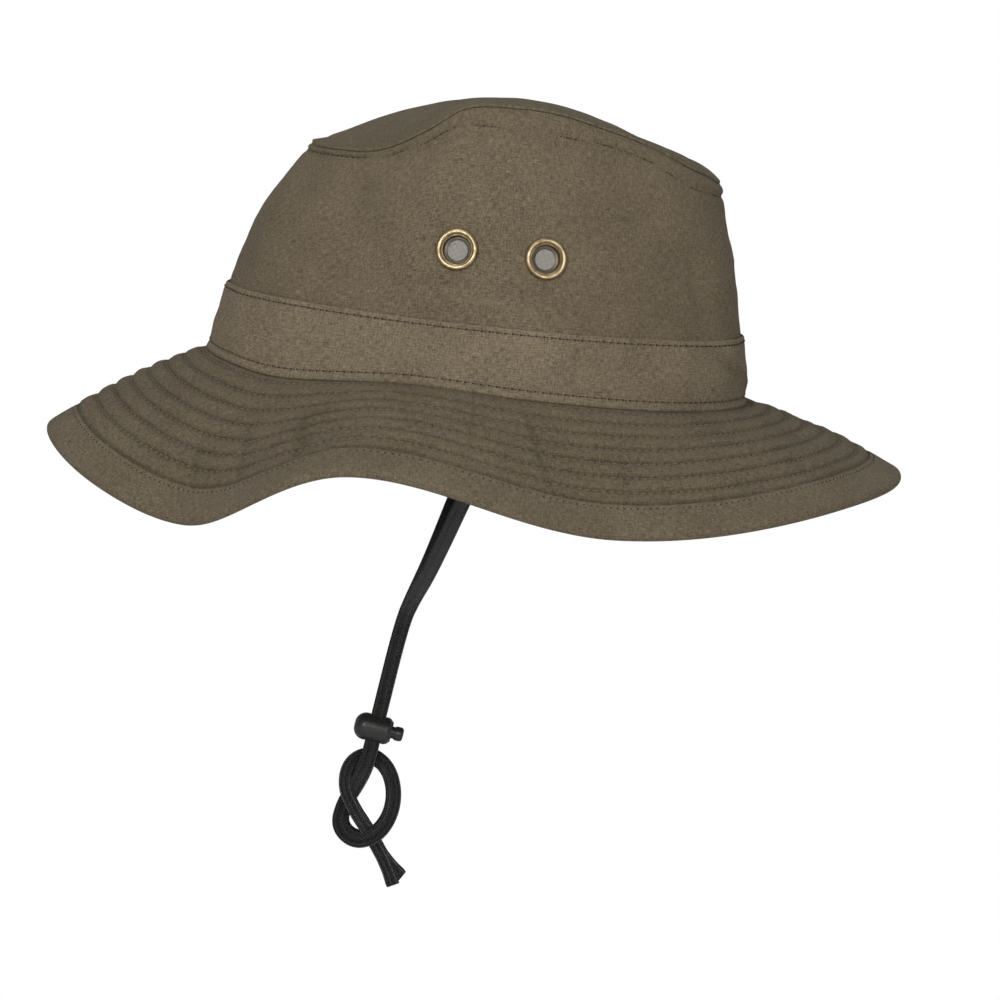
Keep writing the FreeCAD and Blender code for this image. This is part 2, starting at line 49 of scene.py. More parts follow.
CROWN_HALF_LENGTH, CROWN_HALF_WIDTH = 102.6, 82.0
TOP_HALF_LENGTH, TOP_HALF_WIDTH, TOP_SHIFT_BACK = 78.5, 59.0, 6.5
CROWN_CLOTH, TOP_CLOTH = 1.0, 0.9
LAYER_GAP = 0.3
BAND_CLOTH, BAND_LOW, BAND_HIGH = 1.0, 0.3, 25.5
SWEATBAND_CLOTH, SWEATBAND_LOW, SWEATBAND_HIGH = 1.3, 0.6, 31.0
TAPE_CLOTH, TAPE_WIDTH, TAPE_BELOW_SEAM = 0.6, 9.0, 2.0
RING_JOIN = 97.0
BRIM_WIDTH_MEAN, BRIM_WIDTH_SWING, BRIM_CAMBER = 68.2, 1.4, 2.2
BRIM_START_OUT, BRIM_START_DOWN = 0.3, 1.6
BRIM_CLOTH, BRIM_LAYER_PITCH = 0.6, 0.9
BINDING_CLOTH, BINDING_WIDTH, BINDING_CENTRE = 0.6, 14.0, 1.8
EYELET_Y = {"front": -12.0, "rear": 21.0}
EYELET_HEIGHT = 52.0
CORD_WIDTH, CORD_THICK = 6.0, 2.0

# Rows of quilting on the brim, counted out from the crown seam.
FIRST_ROW, ROW_PITCH, ROW_COUNT = 2.5, 7.4, 7
PUFF = 1.55


def mirrored(stations):
    """Stations of the wearer's left, from front to back, and the same ones on the right."""
    other_side = [(180 - degrees, value) for degrees, value in stations if -90 < degrees < 90]
    return stations + other_side[::-1]


# Values at stations round the hat, in degrees: 0 is the wearer's left, 90 the back, -90 the front.
TABLE = {
    "brim_droop": mirrored([(-90, 32), (-46, 50), (-16, 23), (22, 36), (66, 21), (90, 18)]),
    "seam_wave": mirrored([(-90, 0), (-66, -1.5), (-45, -3), (-14, 1.5), (10, 0.5), (40, -0.5), (90, 0)]),
    "top_seam": [(-90, 81.5), (-60, 81.5), (-40, 84.0), (-26, 93.0), (-15, 103.0), (0, 105.0),
                 (10, 104.3), (22, 101.0), (36, 96.5), (60, 87.5), (90, 82.5), (120, 88.0),
                 (144, 92.0), (165, 97.5), (180, 99.5), (204, 96.0), (225, 88.0), (247, 82.5)],
    "wall_bulge": [(-90, 6.5), (-30, 5.0), (30, 5.0), (90, 2.8), (150, 5.0), (210, 5.0)],
    # how far the top-stitching runs below the top seam
    "top_stitch": mirrored([(-90, 2.5), (-45, 2.5), (-20, 5.5), (4, 8), (30, 5), (56, 7), (90, 4.5)]),
}
RIDGE_Y = (-72.0, -64.0, -57.0, -46.0, -35.0, -16.0, 0.0, 22.0, 40.0, 53.0, 70.0, 85.0)
RIDGE_Z = (80.5, 84.4, 87.4, 92.4, 96.9, 103.4, 105.2, 103.9, 99.9, 95.4, 89.4, 81.6)

# Route of the left chin cord; the right one mirrors it down to the lock, and then both run side by
# side through one loose overhand knot to their tails.
CORD_FALL = [
    (77.8, 10.8, -2.5), (75.6, 9.6, -12.0), (66.5, 5.6, -26.0), (53.0, 0.2, -43.0),
    (36.5, -5.4, -61.5), (19.5, -10.8, -78.5), (6.2, -15.2, -89.5), (1.1, -18.6, -100.0),
    (1.1, -24.1, -140.0), (1.1, -25.2, -148.0),
]
KNOT = [
    (2.4, -26.4, -156.0), (-0.8, -29.6, -165.0), (-2.8, -33.9, -173.4), (-0.5, -35.2, -182.4),
    (1.4, -27.9, -187.6), (2.6, -19.4, -184.0), (1.8, -14.6, -175.4), (0.2, -14.2, -165.4),
    (-3.0, -18.2, -156.6), (-5.2, -26.2, -152.6), (-1.6, -33.7, -156.8), (2.0, -34.6, -166.0),
    (2.8, -29.4, -174.8), (-0.4, -24.4, -181.6), (-2.6, -19.8, -188.4), (-1.2, -15.2, -195.0),
]
LEFT_TAIL = [(0.6, -11.2, -203.0)]
RIGHT_TAIL = [(-1.6, -8.4, -200.2)]
RIGHT_LOOP_INSET = 0.94
KNOT_MIDDLE = (-24.6, -170.0)
CORD_PAIR_OFFSET = 1.1

# ---------------------------------------------------------------- the hat's surfaces


def hermite(share, span, start, end, start_slope, end_slope):
    """Cubic from start to end with the slopes given."""
    t = share
    return ((2 * t**3 - 3 * t**2 + 1) * start + (t**3 - 2 * t**2 + t) * span * start_slope
            + (3 * t**2 - 2 * t**3) * end + (t**3 - t**2) * span * end_slope)


@lru_cache(maxsize=None)
def around(name, degrees):
    """A table's value at any angle round the hat, smooth and periodic."""
    stations = TABLE[name]
    count = len(stations)

    def station(i):
        turns, index = divmod(i, count)
        return stations[index][0] + 360 * turns, stations[index][1]

    def slope(i):
        return (station(i + 1)[1] - station(i - 1)[1]) / (station(i + 1)[0] - station(i - 1)[0])

    turned = (degrees - stations[0][0]) % 360 + stations[0][0]
    i = max(k for k in range(count) if stations[k][0] <= turned)
    span = station(i + 1)[0] - station(i)[0]
    share = (turned - station(i)[0]) / span
    return hermite(share, span, station(i)[1], station(i + 1)[1], slope(i), slope(i + 1))


def ridge(y):
    """Height of the top panel's middle line at y."""
    last = len(RIDGE_Y) - 1

    def slope(i):
        low, high = max(i - 1, 0), min(i + 1, last)
        return (RIDGE_Z[high] - RIDGE_Z[low]) / (RIDGE_Y[high] - RIDGE_Y[low])

    y = min(max(y, RIDGE_Y[0]), RIDGE_Y[last])
    i = max(k for k in range(last) if RIDGE_Y[k] <= y)
    span = RIDGE_Y[i + 1] - RIDGE_Y[i]
    return hermite((y - RIDGE_Y[i]) / span, span, RIDGE_Z[i], RIDGE_Z[i + 1], slope(i), slope(i + 1))


@lru_cache(maxsize=None)
def outward(degrees):
    """Level unit normal of the crown's base oval."""
    angle = math.radians(degrees)
    return Vector((math.cos(angle) / CROWN_HALF_WIDTH,
                   math.sin(angle) / CROWN_HALF_LENGTH, 0)).normalized()


def wall_point(degrees, height, out):
    """Point on the smooth crown wall at a height, moved out of its outer face by out."""
    angle = math.radians(degrees)
    low = around("seam_wave", degrees)
    high = around("top_seam", degrees)
    share = (height - low) / (high - low)
    base = Vector((CROWN_HALF_WIDTH * math.cos(angle), CROWN_HALF_LENGTH * math.sin(angle), 0))
    top = Vector((TOP_HALF_WIDTH * math.cos(angle),
                  TOP_SHIFT_BACK + TOP_HALF_LENGTH * math.sin(angle), 0))
    bulge = around("wall_bulge", degrees) * share * (1 - share) * (3 + 2 * share)
    point = base + (top - base) * share + outward(degrees) * (bulge + out)
    point.z = height
    return point


def brim_width(degrees):
    return BRIM_WIDTH_MEAN - BRIM_WIDTH_SWING * math.sin(math.radians(degrees))


def brim_point(degrees, run, lift):
    """Point of the cambered brim, run along its slope from the crown seam and lift above its middle."""
    droop = math.radians(around("brim_droop", degrees))
    start = wall_point(degrees, around("seam_wave", degrees), BRIM_START_OUT)
    start.z -= BRIM_START_DOWN
    share = run / brim_width(degrees)
    lift += 4 * BRIM_CAMBER * share * (1 - share)
    level = run * math.cos(droop) + lift * math.sin(droop)
    return start + outward(degrees) * level + Vector((0, 0, lift * math.cos(droop) - run * math.sin(droop)))


def top_point(across, along, lift):
    """Point of the top panel; across and along run from -1 to 1 and fill an oval."""
    disc_x = across * math.sqrt(1 - along**2 / 2)
    disc_y = along * math.sqrt(1 - across**2 / 2)
    disc_y = min(max(disc_y, -1.0), 1.0)
    degrees = round(math.degrees(math.asin(disc_y)), 4)
    left = around("top_seam", degrees)
    right = around("top_seam", 180 - degrees)
    y = TOP_SHIFT_BACK + TOP_HALF_LENGTH * disc_y
    middle = ridge(y)
    share = disc_x / max(math.sqrt(1 - disc_y**2), 1e-3)
    share = min(max(share, -1), 1)
    z = middle + (left - right) / 2 * share + ((left + right) / 2 - middle) * share**2
    return Vector((TOP_HALF_WIDTH * disc_x, y, z + lift))


def spread(start, end, count):
    return [start + (end - start) * i / (count - 1) for i in range(count)]


def smooth_step(low, high, value):
    share = min(max((value - low) / (high - low), 0.0), 1.0)
    return share * share * (3 - 2 * share)


def side_angle(side, degrees):
    """An angle counted from the wearer's left, or the same place on the right."""
    return degrees if side == "left" else 180 - degrees


def wall_facing(degrees, height):
    step = 2.0
    along = wall_point(degrees + step, height, 0) - wall_point(degrees - step, height, 0)
    up = wall_point(degrees, height + step, 0) - wall_point(degrees, height - step, 0)
    return along.cross(up).normalized()


def angle_at(side, y, height):
    """Angle at which the wall on one side passes a given y, found by halving."""
    low, high = -60.0, 60.0
    for _ in range(40):
        middle = (low + high) / 2
        if wall_point(side_angle(side, middle), height, 0).y < y:
            low = middle
        else:
            high = middle
    return side_angle(side, middle)


EYELETS = {}
for side in ("left", "right"):
    for end, eyelet_y in EYELET_Y.items():
        degrees = angle_at(side, eyelet_y, EYELET_HEIGHT)
        EYELETS[f"{side}_{end}"] = (wall_point(degrees, EYELET_HEIGHT, 0),
                                    wall_facing(degrees, EYELET_HEIGHT))

# ---------------------------------------------------------------- creases, puckers and puffs

# Soft folds pressed into the crown: side, start and end as (degrees from that side, height), half
# width and depth in millimetres. A negative depth is a ridge.
CROWN_FOLDS = [
    ("left", (-70, 60), (-64, 33), 9.0, -0.9),
    ("left", (-50, 80), (-34, 55), 8.0, 1.6),
    ("left", (-26, 86), (-14, 92), 5.0, 1.3),
    ("left", (-34, 76), (-22, 58), 7.0, -0.8),
    ("left", (-22, 36.5), (-4, 39.5), 3.0, 0.8),
    ("left", (0, 38.0), (13, 35.0), 3.2, 0.7),
    ("left", (-16, 32.5), (4, 33.0), 2.6, -0.4),
    ("left", (33, 72), (66, 30), 9.0, 1.3),
    ("left", (46, 70), (74, 42), 6.0, -0.9),
    ("left", (52, 58), (58, 34), 5.0, 0.9),
    ("left", (20, 80), (40, 66), 6.0, 0.6),
    ("left", (57, 22), (88, 2), 1.5, 1.1),
    ("left", (61, 25), (90, 6), 1.5, -0.8),
    ("left", (39, 21), (53, 12), 2.4, 0.45),
    ("right", (-66, 66), (-44, 40), 8.0, 1.4),
    ("right", (-30, 84), (-8, 70), 7.0, 1.0),
    ("right", (-18, 38), (8, 36), 3.2, 0.8),
    ("right", (30, 70), (58, 38), 8.0, 1.4),
    ("right", (50, 76), (76, 52), 6.0, -0.9),
    ("right", (62, 20), (84, 5), 1.8, 0.9),
]
FOLD_STRENGTH = 1.6
WALL_MM_PER_DEGREE = 1.55


def fold_press(degrees, height):
    """How far the soft folds push the cloth in at a place on the wall."""
    turned = (degrees + 90) % 360 - 90
    side = "left" if turned <= 90 else "right"
    reading = turned if side == "left" else 180 - turned
    here = Vector((reading * WALL_MM_PER_DEGREE, height))
    total = 0.0
    for fold_side, start, end, half_width, depth in CROWN_FOLDS:
        if fold_side != side:
            continue
        first = Vector((start[0] * WALL_MM_PER_DEGREE, start[1]))
        along = Vector((end[0] * WALL_MM_PER_DEGREE, end[1])) - first
        share = min(max((here - first).dot(along) / along.length_squared, 0.0), 1.0)
        away = (here - first - along * share).length
        fade = 0.45 + 0.55 * math.sin(math.pi * share)
        total += depth * fade * math.exp(-(away / half_width) ** 2)
    return FOLD_STRENGTH * total


@lru_cache(maxsize=None)
def wall_relief(degrees, height):
    """Creases of the washed crown: how far the cloth stands out of the smooth wall."""
    place = wall_point(degrees, height, 0)
    broad = noise.noise(place / 34.0 + Vector((3.1, 0.7, 5.2)))
    middling = noise.noise(Vector((place.x / 15, place.y / 15, place.z / 11)) + Vector((9.4, 2.2, 1.8)))
    fine = noise.noise(Vector((place.x / 5, place.y / 5, place.z / 4)))
    relief = 1.5 * broad + 0.7 * middling + 0.16 * fine - fold_press(degrees, height)
    top = around("top_seam", degrees)
    relief *= 1 - 0.8 * smooth_step(14.0, 4.0, top - height)
    relief *= 0.25 + 0.75 * smooth_step(0.0, 16.0, height)
    for seat, _ in EYELETS.values():
        relief *= smooth_step(7.0, 16.0, (place - seat).length)
    stitch = top - around("top_stitch", degrees)
    relief -= 0.8 * math.exp(-((height - stitch) / 1.1) ** 2)
    if stitch < height < top:
        relief += 0.8 * math.sin(math.pi * (height - stitch) / (top - stitch)) ** 0.7
    return relief


def crown_point(degrees, height, out):
    """Point on the creased crown wall, moved out of its outer face by out."""
    return wall_point(degrees, height, out) + outward(degrees) * wall_relief(degrees, height)


# Pinched creases across the brim: degrees at the crown and at the edge, the run over which each
# goes, half width in millimetres and depth.
BRIM_CREASES = [
    (10, 13, 8, 52, 1.3, 0.9), (27, 24, 28, 60, 1.4, 0.5), (-42, -36, 26, 58, 2.2, 0.9),
    (-31, -25, 20, 56, 2.4, 0.8), (-52, -47, 34, 56, 1.8, 0.7), (-14, -11, 6, 30, 1.6, 0.4),
    (62, 60, 30, 54, 1.6, 0.4), (131, 128, 12, 50, 1.6, 0.6), (168, 171, 8, 46, 1.4, 0.8),
    (207, 203, 20, 56, 2.0, 0.6), (222, 217, 18, 52, 2.0, 0.6), (236, 232, 30, 56, 1.8, 0.5),
    (266, 268, 26, 52, 1.6, 0.3),
]
BRIM_RING_RADIUS = 118.0


def crease_press(degrees, run):
    """How far the pinched creases pull the brim's cloth down at a place on it."""
    total = 0.0
    for inner, outer, start, end, half_width, depth in BRIM_CREASES:
        if not start - 6 < run < end + 6:
            continue
        share = (run - start) / (end - start)
        line = inner + (outer - inner) * share
        away = ((degrees - line + 180) % 360 - 180) * math.radians(1) * BRIM_RING_RADIUS
        ends = smooth_step(start - 6, start + 6, run) * (1 - smooth_step(end - 6, end + 6, run))
        step = 1 / (1 + math.exp(-away / half_width * 2))
        pinch = math.exp(-(away / half_width) ** 2)
        shoulder = 0.35 * step * math.exp(-(away / 9) ** 2)
        total += depth * ends * (pinch + shoulder)
    return total


@lru_cache(maxsize=None)
def brim_puff(degrees, run, face):
    """Height of the quilted cloth above its stitch rows; face is 1 on top and -1 underneath."""
    last_row = FIRST_ROW + ROW_PITCH * (ROW_COUNT - 1)
    binding = brim_width(degrees) - BINDING_WIDTH
    if run < FIRST_ROW:
        share, height = max(run, 0.0) / FIRST_ROW, 0.3
    elif run < last_row:
        share, height = ((run - FIRST_ROW) / ROW_PITCH) % 1.0, 1.0
    else:
        share, height = min((run - last_row) / (binding + 1.5 - last_row), 1.0), 0.8
    reach = (degrees + 90 * face) * math.radians(1) * BRIM_RING_RADIUS
    row = math.floor((run - FIRST_ROW) / ROW_PITCH)
    swell = 0.85 + 0.55 * noise.noise(Vector((reach / 20, row * 3.7, 4.0 * face)))
    puff = PUFF * height * swell * math.sin(math.pi * share) ** 0.55
    if run > binding - 2.0:
        puff = puff * smooth_step(2.5, -1.0, run - binding) - 0.25 * smooth_step(-2.0, 0.0, run - binding)
    pucker = noise.noise(Vector((reach / 3.0, run / 6.5, 7.0 * face)))
    drift = noise.noise(Vector((reach / 30, run / 26, 11.0 * face)))
    calm = smooth_step(0.0, 0.25, share) * smooth_step(1.0, 0.75, share) * height
    ripple = (0.34 + 0.6 * max(drift, 0.0)) * pucker * (0.35 + 0.65 * calm)
    return puff + ripple - (crease_press(degrees, run) if face > 0 else 0.5 * crease_press(degrees, run))


def brim_hollow(degrees, run):
    """1 at the bottom of a stitched valley, pinched crease or the tuck under the binding, 0 on open cloth:
    where the brim's painted shade falls.
    """
    row = min(max(round((run - FIRST_ROW) / ROW_PITCH), 0), ROW_COUNT - 1)
    away = run - FIRST_ROW - row * ROW_PITCH
    stitched = math.exp(-(away / 0.85) ** 2)
    tucked = math.exp(-((run - brim_width(degrees) + BINDING_WIDTH + 0.6) / 1.1) ** 2)
    return min(stitched + tucked + 0.5 * max(crease_press(degrees, run), 0.0), 1.0)


# ---------------------------------------------------------------- making meshes


def add_object(name, mesh):
    thing = bpy.data.objects.new(name, mesh)
    bpy.context.scene.collection.objects.link(thing)
    return thing


def distances(points):
    """Running distance along a list of points."""
    total = [0.0]
    for before, after in zip(points, points[1:]):
        total.append(total[-1] + (after - before).length)
    return total


def cloth_shell(name, face, back, closed):
    """Closed piece of cloth between two grids of points, with a UV map along its threads in metres.

    face[i][j] and back[i][j] run i round the hat and j across the piece.
    """
    stations, rows = len(face), len(face[0])
    points = [p * MM for column in face for p in column] + [p * MM for column in back for p in column]
    middle = [column[rows // 2] for column in face]
    around_hat = distances(middle + middle[:1] if closed else middle)
    across = distances(face[stations // 2])
    shift = stations * rows
    quads, corners = [], []

    def add(*ends):
        quads.append([(i % stations) * rows + j + (shift if behind else 0) for i, j, behind in ends])
        corners.extend((around_hat[i] * MM, across[j] * MM) for i, j, _ in ends)

    spans = range(stations if closed else stations - 1)
    for i in spans:
        for j in range(rows - 1):
            add((i, j, 0), (i + 1, j, 0), (i + 1, j + 1, 0), (i, j + 1, 0))
            add((i, j, 1), (i, j + 1, 1), (i + 1, j + 1, 1), (i + 1, j, 1))
        add((i, 0, 1), (i + 1, 0, 1), (i + 1, 0, 0), (i, 0, 0))
        add((i, rows - 1, 0), (i + 1, rows - 1, 0), (i + 1, rows - 1, 1), (i, rows - 1, 1))
    if not closed:
        end = stations - 1
        for j in range(rows - 1):
            add((0, j, 0), (0, j + 1, 0), (0, j + 1, 1), (0, j, 1))
            add((end, j, 1), (end, j + 1, 1), (end, j + 1, 0), (end, j, 0))
    mesh = bpy.data.meshes.new(name)
    mesh.from_pydata(points, [], quads)
    layer = mesh.uv_layers.new(name="threads")
    for loop, place in enumerate(corners):
        layer.data[loop].uv = place
    return tidy_mesh(mesh)


def tidy_mesh(mesh, sharp_angle=math.radians(50)):
    """Faces outwards and smooth shading, sharp at real edges."""
    editing = bmesh.new()
    editing.from_mesh(mesh)
    bmesh.ops.recalc_face_normals(editing, faces=editing.faces)
    editing.to_mesh(mesh)
    editing.free()
    mesh.shade_smooth()
    mesh.set_sharp_from_angle(angle=sharp_angle)
    return mesh


def shade_hollows(mesh, hollows):
    """Store how deep each point of a cloth lies in a stitched valley or crease, from 0 to 1, as the mask
    for the cloth's painted shade.
    """
    layer = mesh.attributes.new("hollow", "FLOAT", "POINT")
    for item, hollow in zip(layer.data, hollows):
        item.value = hollow


def flat_area(grid, closed):
    """Area of a smooth grid of points, in square metres: the piece's cut size."""
    columns = grid + grid[:1] if closed else grid
    total = 0.0
    for left, right in zip(columns, columns[1:]):
        for j in range(len(left) - 1):
            total += (right[j + 1] - left[j]).cross(right[j] - left[j + 1]).length / 2
    return total * MM * MM


def place(piece, body, slot, material, nodes=()):
    """Dress a finished piece and hang it on the part."""
    piece.data.materials.clear()
    piece.data.materials.append(material)
    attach(piece, body)
    if nodes:
        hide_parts(*nodes)
    return piece


def folded_edge(distance, reach):
    """Share of a folded cloth's thickness at a distance from its rounded edge."""
    return math.sqrt(max(1 - (1 - min(distance / reach, 1.0)) ** 2, 0.02))


def edge_stops(low, high, inner, edge):
    """Heights across a strip: inner even ones, and closer ones within edge of both sides."""
    rim = [0.0, 0.15 * edge, 0.45 * edge]
    return ([low + r for r in rim] + spread(low + edge, high - edge, inner)
            + [high - r for r in reversed(rim)])


# ---------------------------------------------------------------- node trees


class Value:
    """A value in a material; the usual operators on it add Math nodes."""

    def __init__(self, paint, socket):
        self.paint = paint
        self.socket = socket

    def math(self, operation, first, second):
        return self.paint.add("Math", {"operation": operation}, {0: first, 1: second})

    def __add__(self, other):
        return self.math("ADD", self, other)

    def __radd__(self, other):
        return self.math("ADD", other, self)

    def __sub__(self, other):
        return self.math("SUBTRACT", self, other)

    def __rsub__(self, other):
        return self.math("SUBTRACT", other, self)

    def __mul__(self, other):
        return self.math("MULTIPLY", self, other)

    def __rmul__(self, other):
        return self.math("MULTIPLY", other, self)

    def __truediv__(self, other):
        return self.math("DIVIDE", self, other)

    def __pow__(self, other):
        return self.math("POWER", self, other)

    def __abs__(self):
        return self.paint.add("Math", {"operation": "ABSOLUTE"}, {0: self})

    def sine(self):
        return self.paint.add("Math", {"operation": "SINE"}, {0: self})

    def held(self, low=0.0, high=1.0):
        return self.paint.add("Clamp", {}, {"Value": self, "Min": low, "Max": high})


class Paint:
    """A material and its nodes."""

    def __init__(self, name, **constants):
        self.material = bpy.data.materials.new(name)
        self.material.use_nodes = True
        self.tree = self.material.node_tree
        self.surface = self.tree.nodes["Principled BSDF"]
        for socket, value in constants.items():
            self.surface.inputs[socket.replace("_", " ")].default_value = value

    def feed(self, socket, value):
        if isinstance(value, Value):
            self.tree.links.new(value.socket, socket)
        else:
            socket.default_value = value

    def add(self, kind, settings, inputs, output=0):
        """A node of a kind, its settings first, then its sockets; gives one of its outputs."""
        node = self.tree.nodes.new("ShaderNode" + kind)
        for setting, value in settings.items():
            if setting == "stops":
                for stop, (position, colour) in zip(node.color_ramp.elements, value):
                    stop.position = position
                    stop.color = colour
            else:
                setattr(node, setting, value)
        for socket, value in inputs.items():
            self.feed(node.inputs[socket], value)
        return Value(self, node.outputs[output])

    def coordinates(self, scale):
        """Object coordinates, scaled along each axis."""
        place_here = self.add("TexCoord", {}, {}, "Object")
        return self.add("Mapping", {}, {"Vector": place_here, "Scale": scale})

    def threads(self, scale):
        """The piece's own thread directions, in metres, scaled."""
        along = self.add("UVMap", {"uv_map": "threads"}, {}, "UV")
        return self.add("Mapping", {}, {"Vector": along, "Scale": scale})

    def part(self, vector, axis):
        return self.add("SeparateXYZ", {}, {0: vector}, axis)

    def noise(self, vector, scale, detail=2.0, roughness=0.5):
        return self.add("TexNoise", {}, {"Vector": vector, "Scale": scale, "Detail": detail,
                                         "Roughness": roughness}, "Fac")

    def blend(self, share, first, second):
        """Colour mixed from first to second by share."""
        return self.add("Mix", {"data_type": "RGBA"}, {0: share, 6: first, 7: second}, 2)

    def scaled(self, colour, factor):
        """A colour made lighter or darker by a value."""
        grey = self.add("CombineColor", {}, {0: factor, 1: factor, 2: factor})
        return self.add("Mix", {"data_type": "RGBA", "blend_type": "MULTIPLY"},
                        {0: 1.0, 6: colour, 7: grey}, 2)

    def set(self, **inputs):
        for socket, value in inputs.items():
            self.feed(self.surface.inputs[socket.replace("_", " ")], value)

    def bump(self, height, distance, strength=1.0):
        bumped = self.add("Bump", {}, {"Height": height, "Distance": distance, "Strength": strength})
        self.feed(self.surface.inputs["Normal"], bumped)


def rgb(red, green, blue):
    """Scene-linear colour of an 8-bit display colour."""
    def linear(level):
        level /= 255
        return level / 12.92 if level <= 0.04045 else ((level + 0.055) / 1.055) ** 2.4
    return (linear(red), linear(green), linear(blue), 1.0)


def washed_cotton(name, colour, worn, grain=0.62, mottle=0.14, thread_mm=0.5, valley_shade=0.0):
    """Plain-weave cotton, faded in the wash: threads both ways, slubs, soft blotches, and, if asked,
    painted shade that darkens the colour where the hollow attribute marks stitched valleys and creases.
    """
    paint = Paint(name, Roughness=0.95, Sheen_Weight=0.04, Sheen_Roughness=0.5,
                  Specular_IOR_Level=0.12)
    per_thread = 1000 / thread_mm
    warp = paint.noise(paint.threads((per_thread * 0.9, per_thread * 0.2, 1.0)), 1.0, 2.0)
    weft = paint.noise(paint.threads((per_thread * 0.2, per_thread * 0.9, 1.0)), 1.0, 2.0)
    along = paint.threads((per_thread, per_thread, 1.0))
    weave = (paint.part(along, "X") * math.pi).sine() * (paint.part(along, "Y") * math.pi).sine()
    fleck = paint.noise(along, 0.7, 3.0, 0.7)
    cloud = paint.noise(paint.coordinates((1.0, 1.0, 1.0)), 42.0, 3.0)
    streak = paint.noise(paint.coordinates((1.0, 1.0, 0.45)), 130.0, 2.0)
    tone = (1.0 + (warp + weft - 1.0) * grain * 1.8 + (fleck - 0.5) * grain * 1.8
            + (cloud - 0.5) * mottle * 2 + (streak - 0.5) * mottle)
    # Painted shade: the colour darkens in the stitched valleys, pinched creases and the tuck under the
    # binding that the hollow attribute marks.
    if valley_shade:
        tone = tone * (1.0 - paint.add("Attribute", {"attribute_name": "hollow"}, {}, "Fac") * valley_shade)
    fade = (warp * weft * 2.4 - 0.35 + (cloud - 0.5)).held() * 0.45
    paint.set(Base_Color=paint.scaled(paint.blend(fade, colour, worn), tone))
    paint.bump(weave * 0.3 + warp * 0.6 + weft * 0.6 + fleck * 0.5, 0.0003, 0.9)
    return paint.material


# ---------------------------------------------------------------- finishes

CROWN_COTTON = washed_cotton("washed_crown_cotton", rgb(114, 102, 83), rgb(136, 123, 102))
TOP_COTTON = washed_cotton("washed_top_cotton", rgb(110, 101, 81), rgb(131, 121, 99))
BAND_COTTON = washed_cotton("washed_band_cotton", rgb(126, 113, 93), rgb(145, 132, 111))
# The brim's two cottons carry painted shade in their stitched valleys and creases.
BRIM_COTTON = washed_cotton("washed_brim_cotton", rgb(107, 96, 78), rgb(129, 117, 97),
                             valley_shade=0.38)
UNDER_COTTON = washed_cotton("washed_under_brim_cotton", rgb(100, 90, 73), rgb(120, 108, 90),
                             valley_shade=0.42)
BINDING_COTTON = washed_cotton("washed_binding_cotton", rgb(111, 100, 82), rgb(133, 121, 101))
LINING_COTTON = washed_cotton("soft_lining_cotton", rgb(108, 98, 81), rgb(124, 114, 95), 0.25)


def sewing_thread(name, colour, shade, sheen=0.1):
    paint = Paint(name, Roughness=0.75, Sheen_Weight=sheen, Specular_IOR_Level=0.2)
    twist = paint.noise(paint.coordinates((1.0, 1.0, 1.0)), 2600.0, 1.0)
    paint.set(Base_Color=paint.blend(twist.held(0.25, 0.75), shade, colour))
    paint.bump(twist, 0.0001)
    return paint.material


PALE_THREAD = sewing_thread("pale_sewing_thread", rgb(150, 138, 116), rgb(98, 88, 71))
DARK_THREAD = sewing_thread("matching_sewing_thread", rgb(104, 93, 78), rgb(66, 58, 48))
# Painted shade for the needle holes between stitches.
NEEDLE_HOLE_SHADE = sewing_thread("shaded_needle_holes", rgb(66, 56, 43), rgb(46, 38, 29), 0.0)


def antique_brass():
    paint = Paint("antique_brass", Metallic=1.0)
    patches = paint.noise(paint.coordinates((1.0, 1.0, 1.0)), 420.0, 3.0, 0.5)
    fine = paint.noise(paint.coordinates((1.0, 1.0, 1.0)), 3200.0, 2.0)
    tarnish = ((patches - 0.38) * 2.4).held()
    paint.set(Base_Color=paint.blend(tarnish, rgb(196, 176, 138), rgb(134, 112, 80)),
              Roughness=(0.3 + tarnish * 0.14 + (fine - 0.5) * 0.08).held())
    paint.bump(patches * 0.6 + fine * 0.2, 0.00003)
    return paint.material


def throat_brass_painted_shade():
    """The eyelet's throat and barrel in darker, greyer brass: painted shade of the deep throat."""
    paint = Paint("eyelet_throat_painted_shade", Metallic=1.0)
    patches = paint.noise(paint.coordinates((1.0, 1.0, 1.0)), 1400.0, 3.0)
    paint.set(Base_Color=paint.blend(patches, rgb(72, 66, 57), rgb(132, 122, 104)),
              Roughness=(0.3 + patches * 0.25).held())
    paint.bump(patches, 0.00005)
    return paint.material


def bright_wire():
    paint = Paint("bright_screen_wire", Metallic=0.35)
    drawn = paint.noise(paint.coordinates((1.0, 1.0, 1.0)), 3000.0, 2.0)
    paint.set(Base_Color=paint.blend(drawn, rgb(188, 186, 180), rgb(222, 220, 215)),
              Roughness=(0.3 + drawn * 0.2).held())
    return paint.material


def black_braid():
    """Flat braided polyester: ribs of yarn that slant both ways from the middle of each face."""
    paint = Paint("black_braided_cord", Roughness=0.62, Sheen_Weight=0.2, Sheen_Roughness=0.4,
                  Specular_IOR_Level=0.3)
    along = paint.threads((1.0, 1.0, 1.0))
    across = paint.part(along, "X")
    lean = abs((across * (math.pi * 2)).sine())
    ribs = ((paint.part(along, "Y") * 2600.0 + lean * 2.4) * math.pi).sine()
    yarns = (across * (math.pi * 16)).sine()
    fuzz = paint.noise(paint.coordinates((1.0, 1.0, 1.0)), 2400.0, 2.0)
    height = ribs * 0.4 + yarns * 0.7 + fuzz * 0.3
    tone = (height * 0.4 + 0.4).held()
    paint.set(Base_Color=paint.blend(tone, rgb(16, 16, 16), rgb(54, 53, 52)))
    paint.bump(height, 0.0004)
    return paint.material


def black_plastic():
    paint = Paint("black_satin_plastic", Roughness=0.34, Specular_IOR_Level=0.5)
    skin = paint.noise(paint.coordinates((1.0, 1.0, 1.0)), 1800.0, 3.0)
    paint.set(Base_Color=paint.blend(skin, rgb(30, 30, 30), rgb(48, 47, 46)),
              Roughness=(0.3 + skin * 0.14).held())
    paint.bump(skin, 0.00006)
    return paint.material


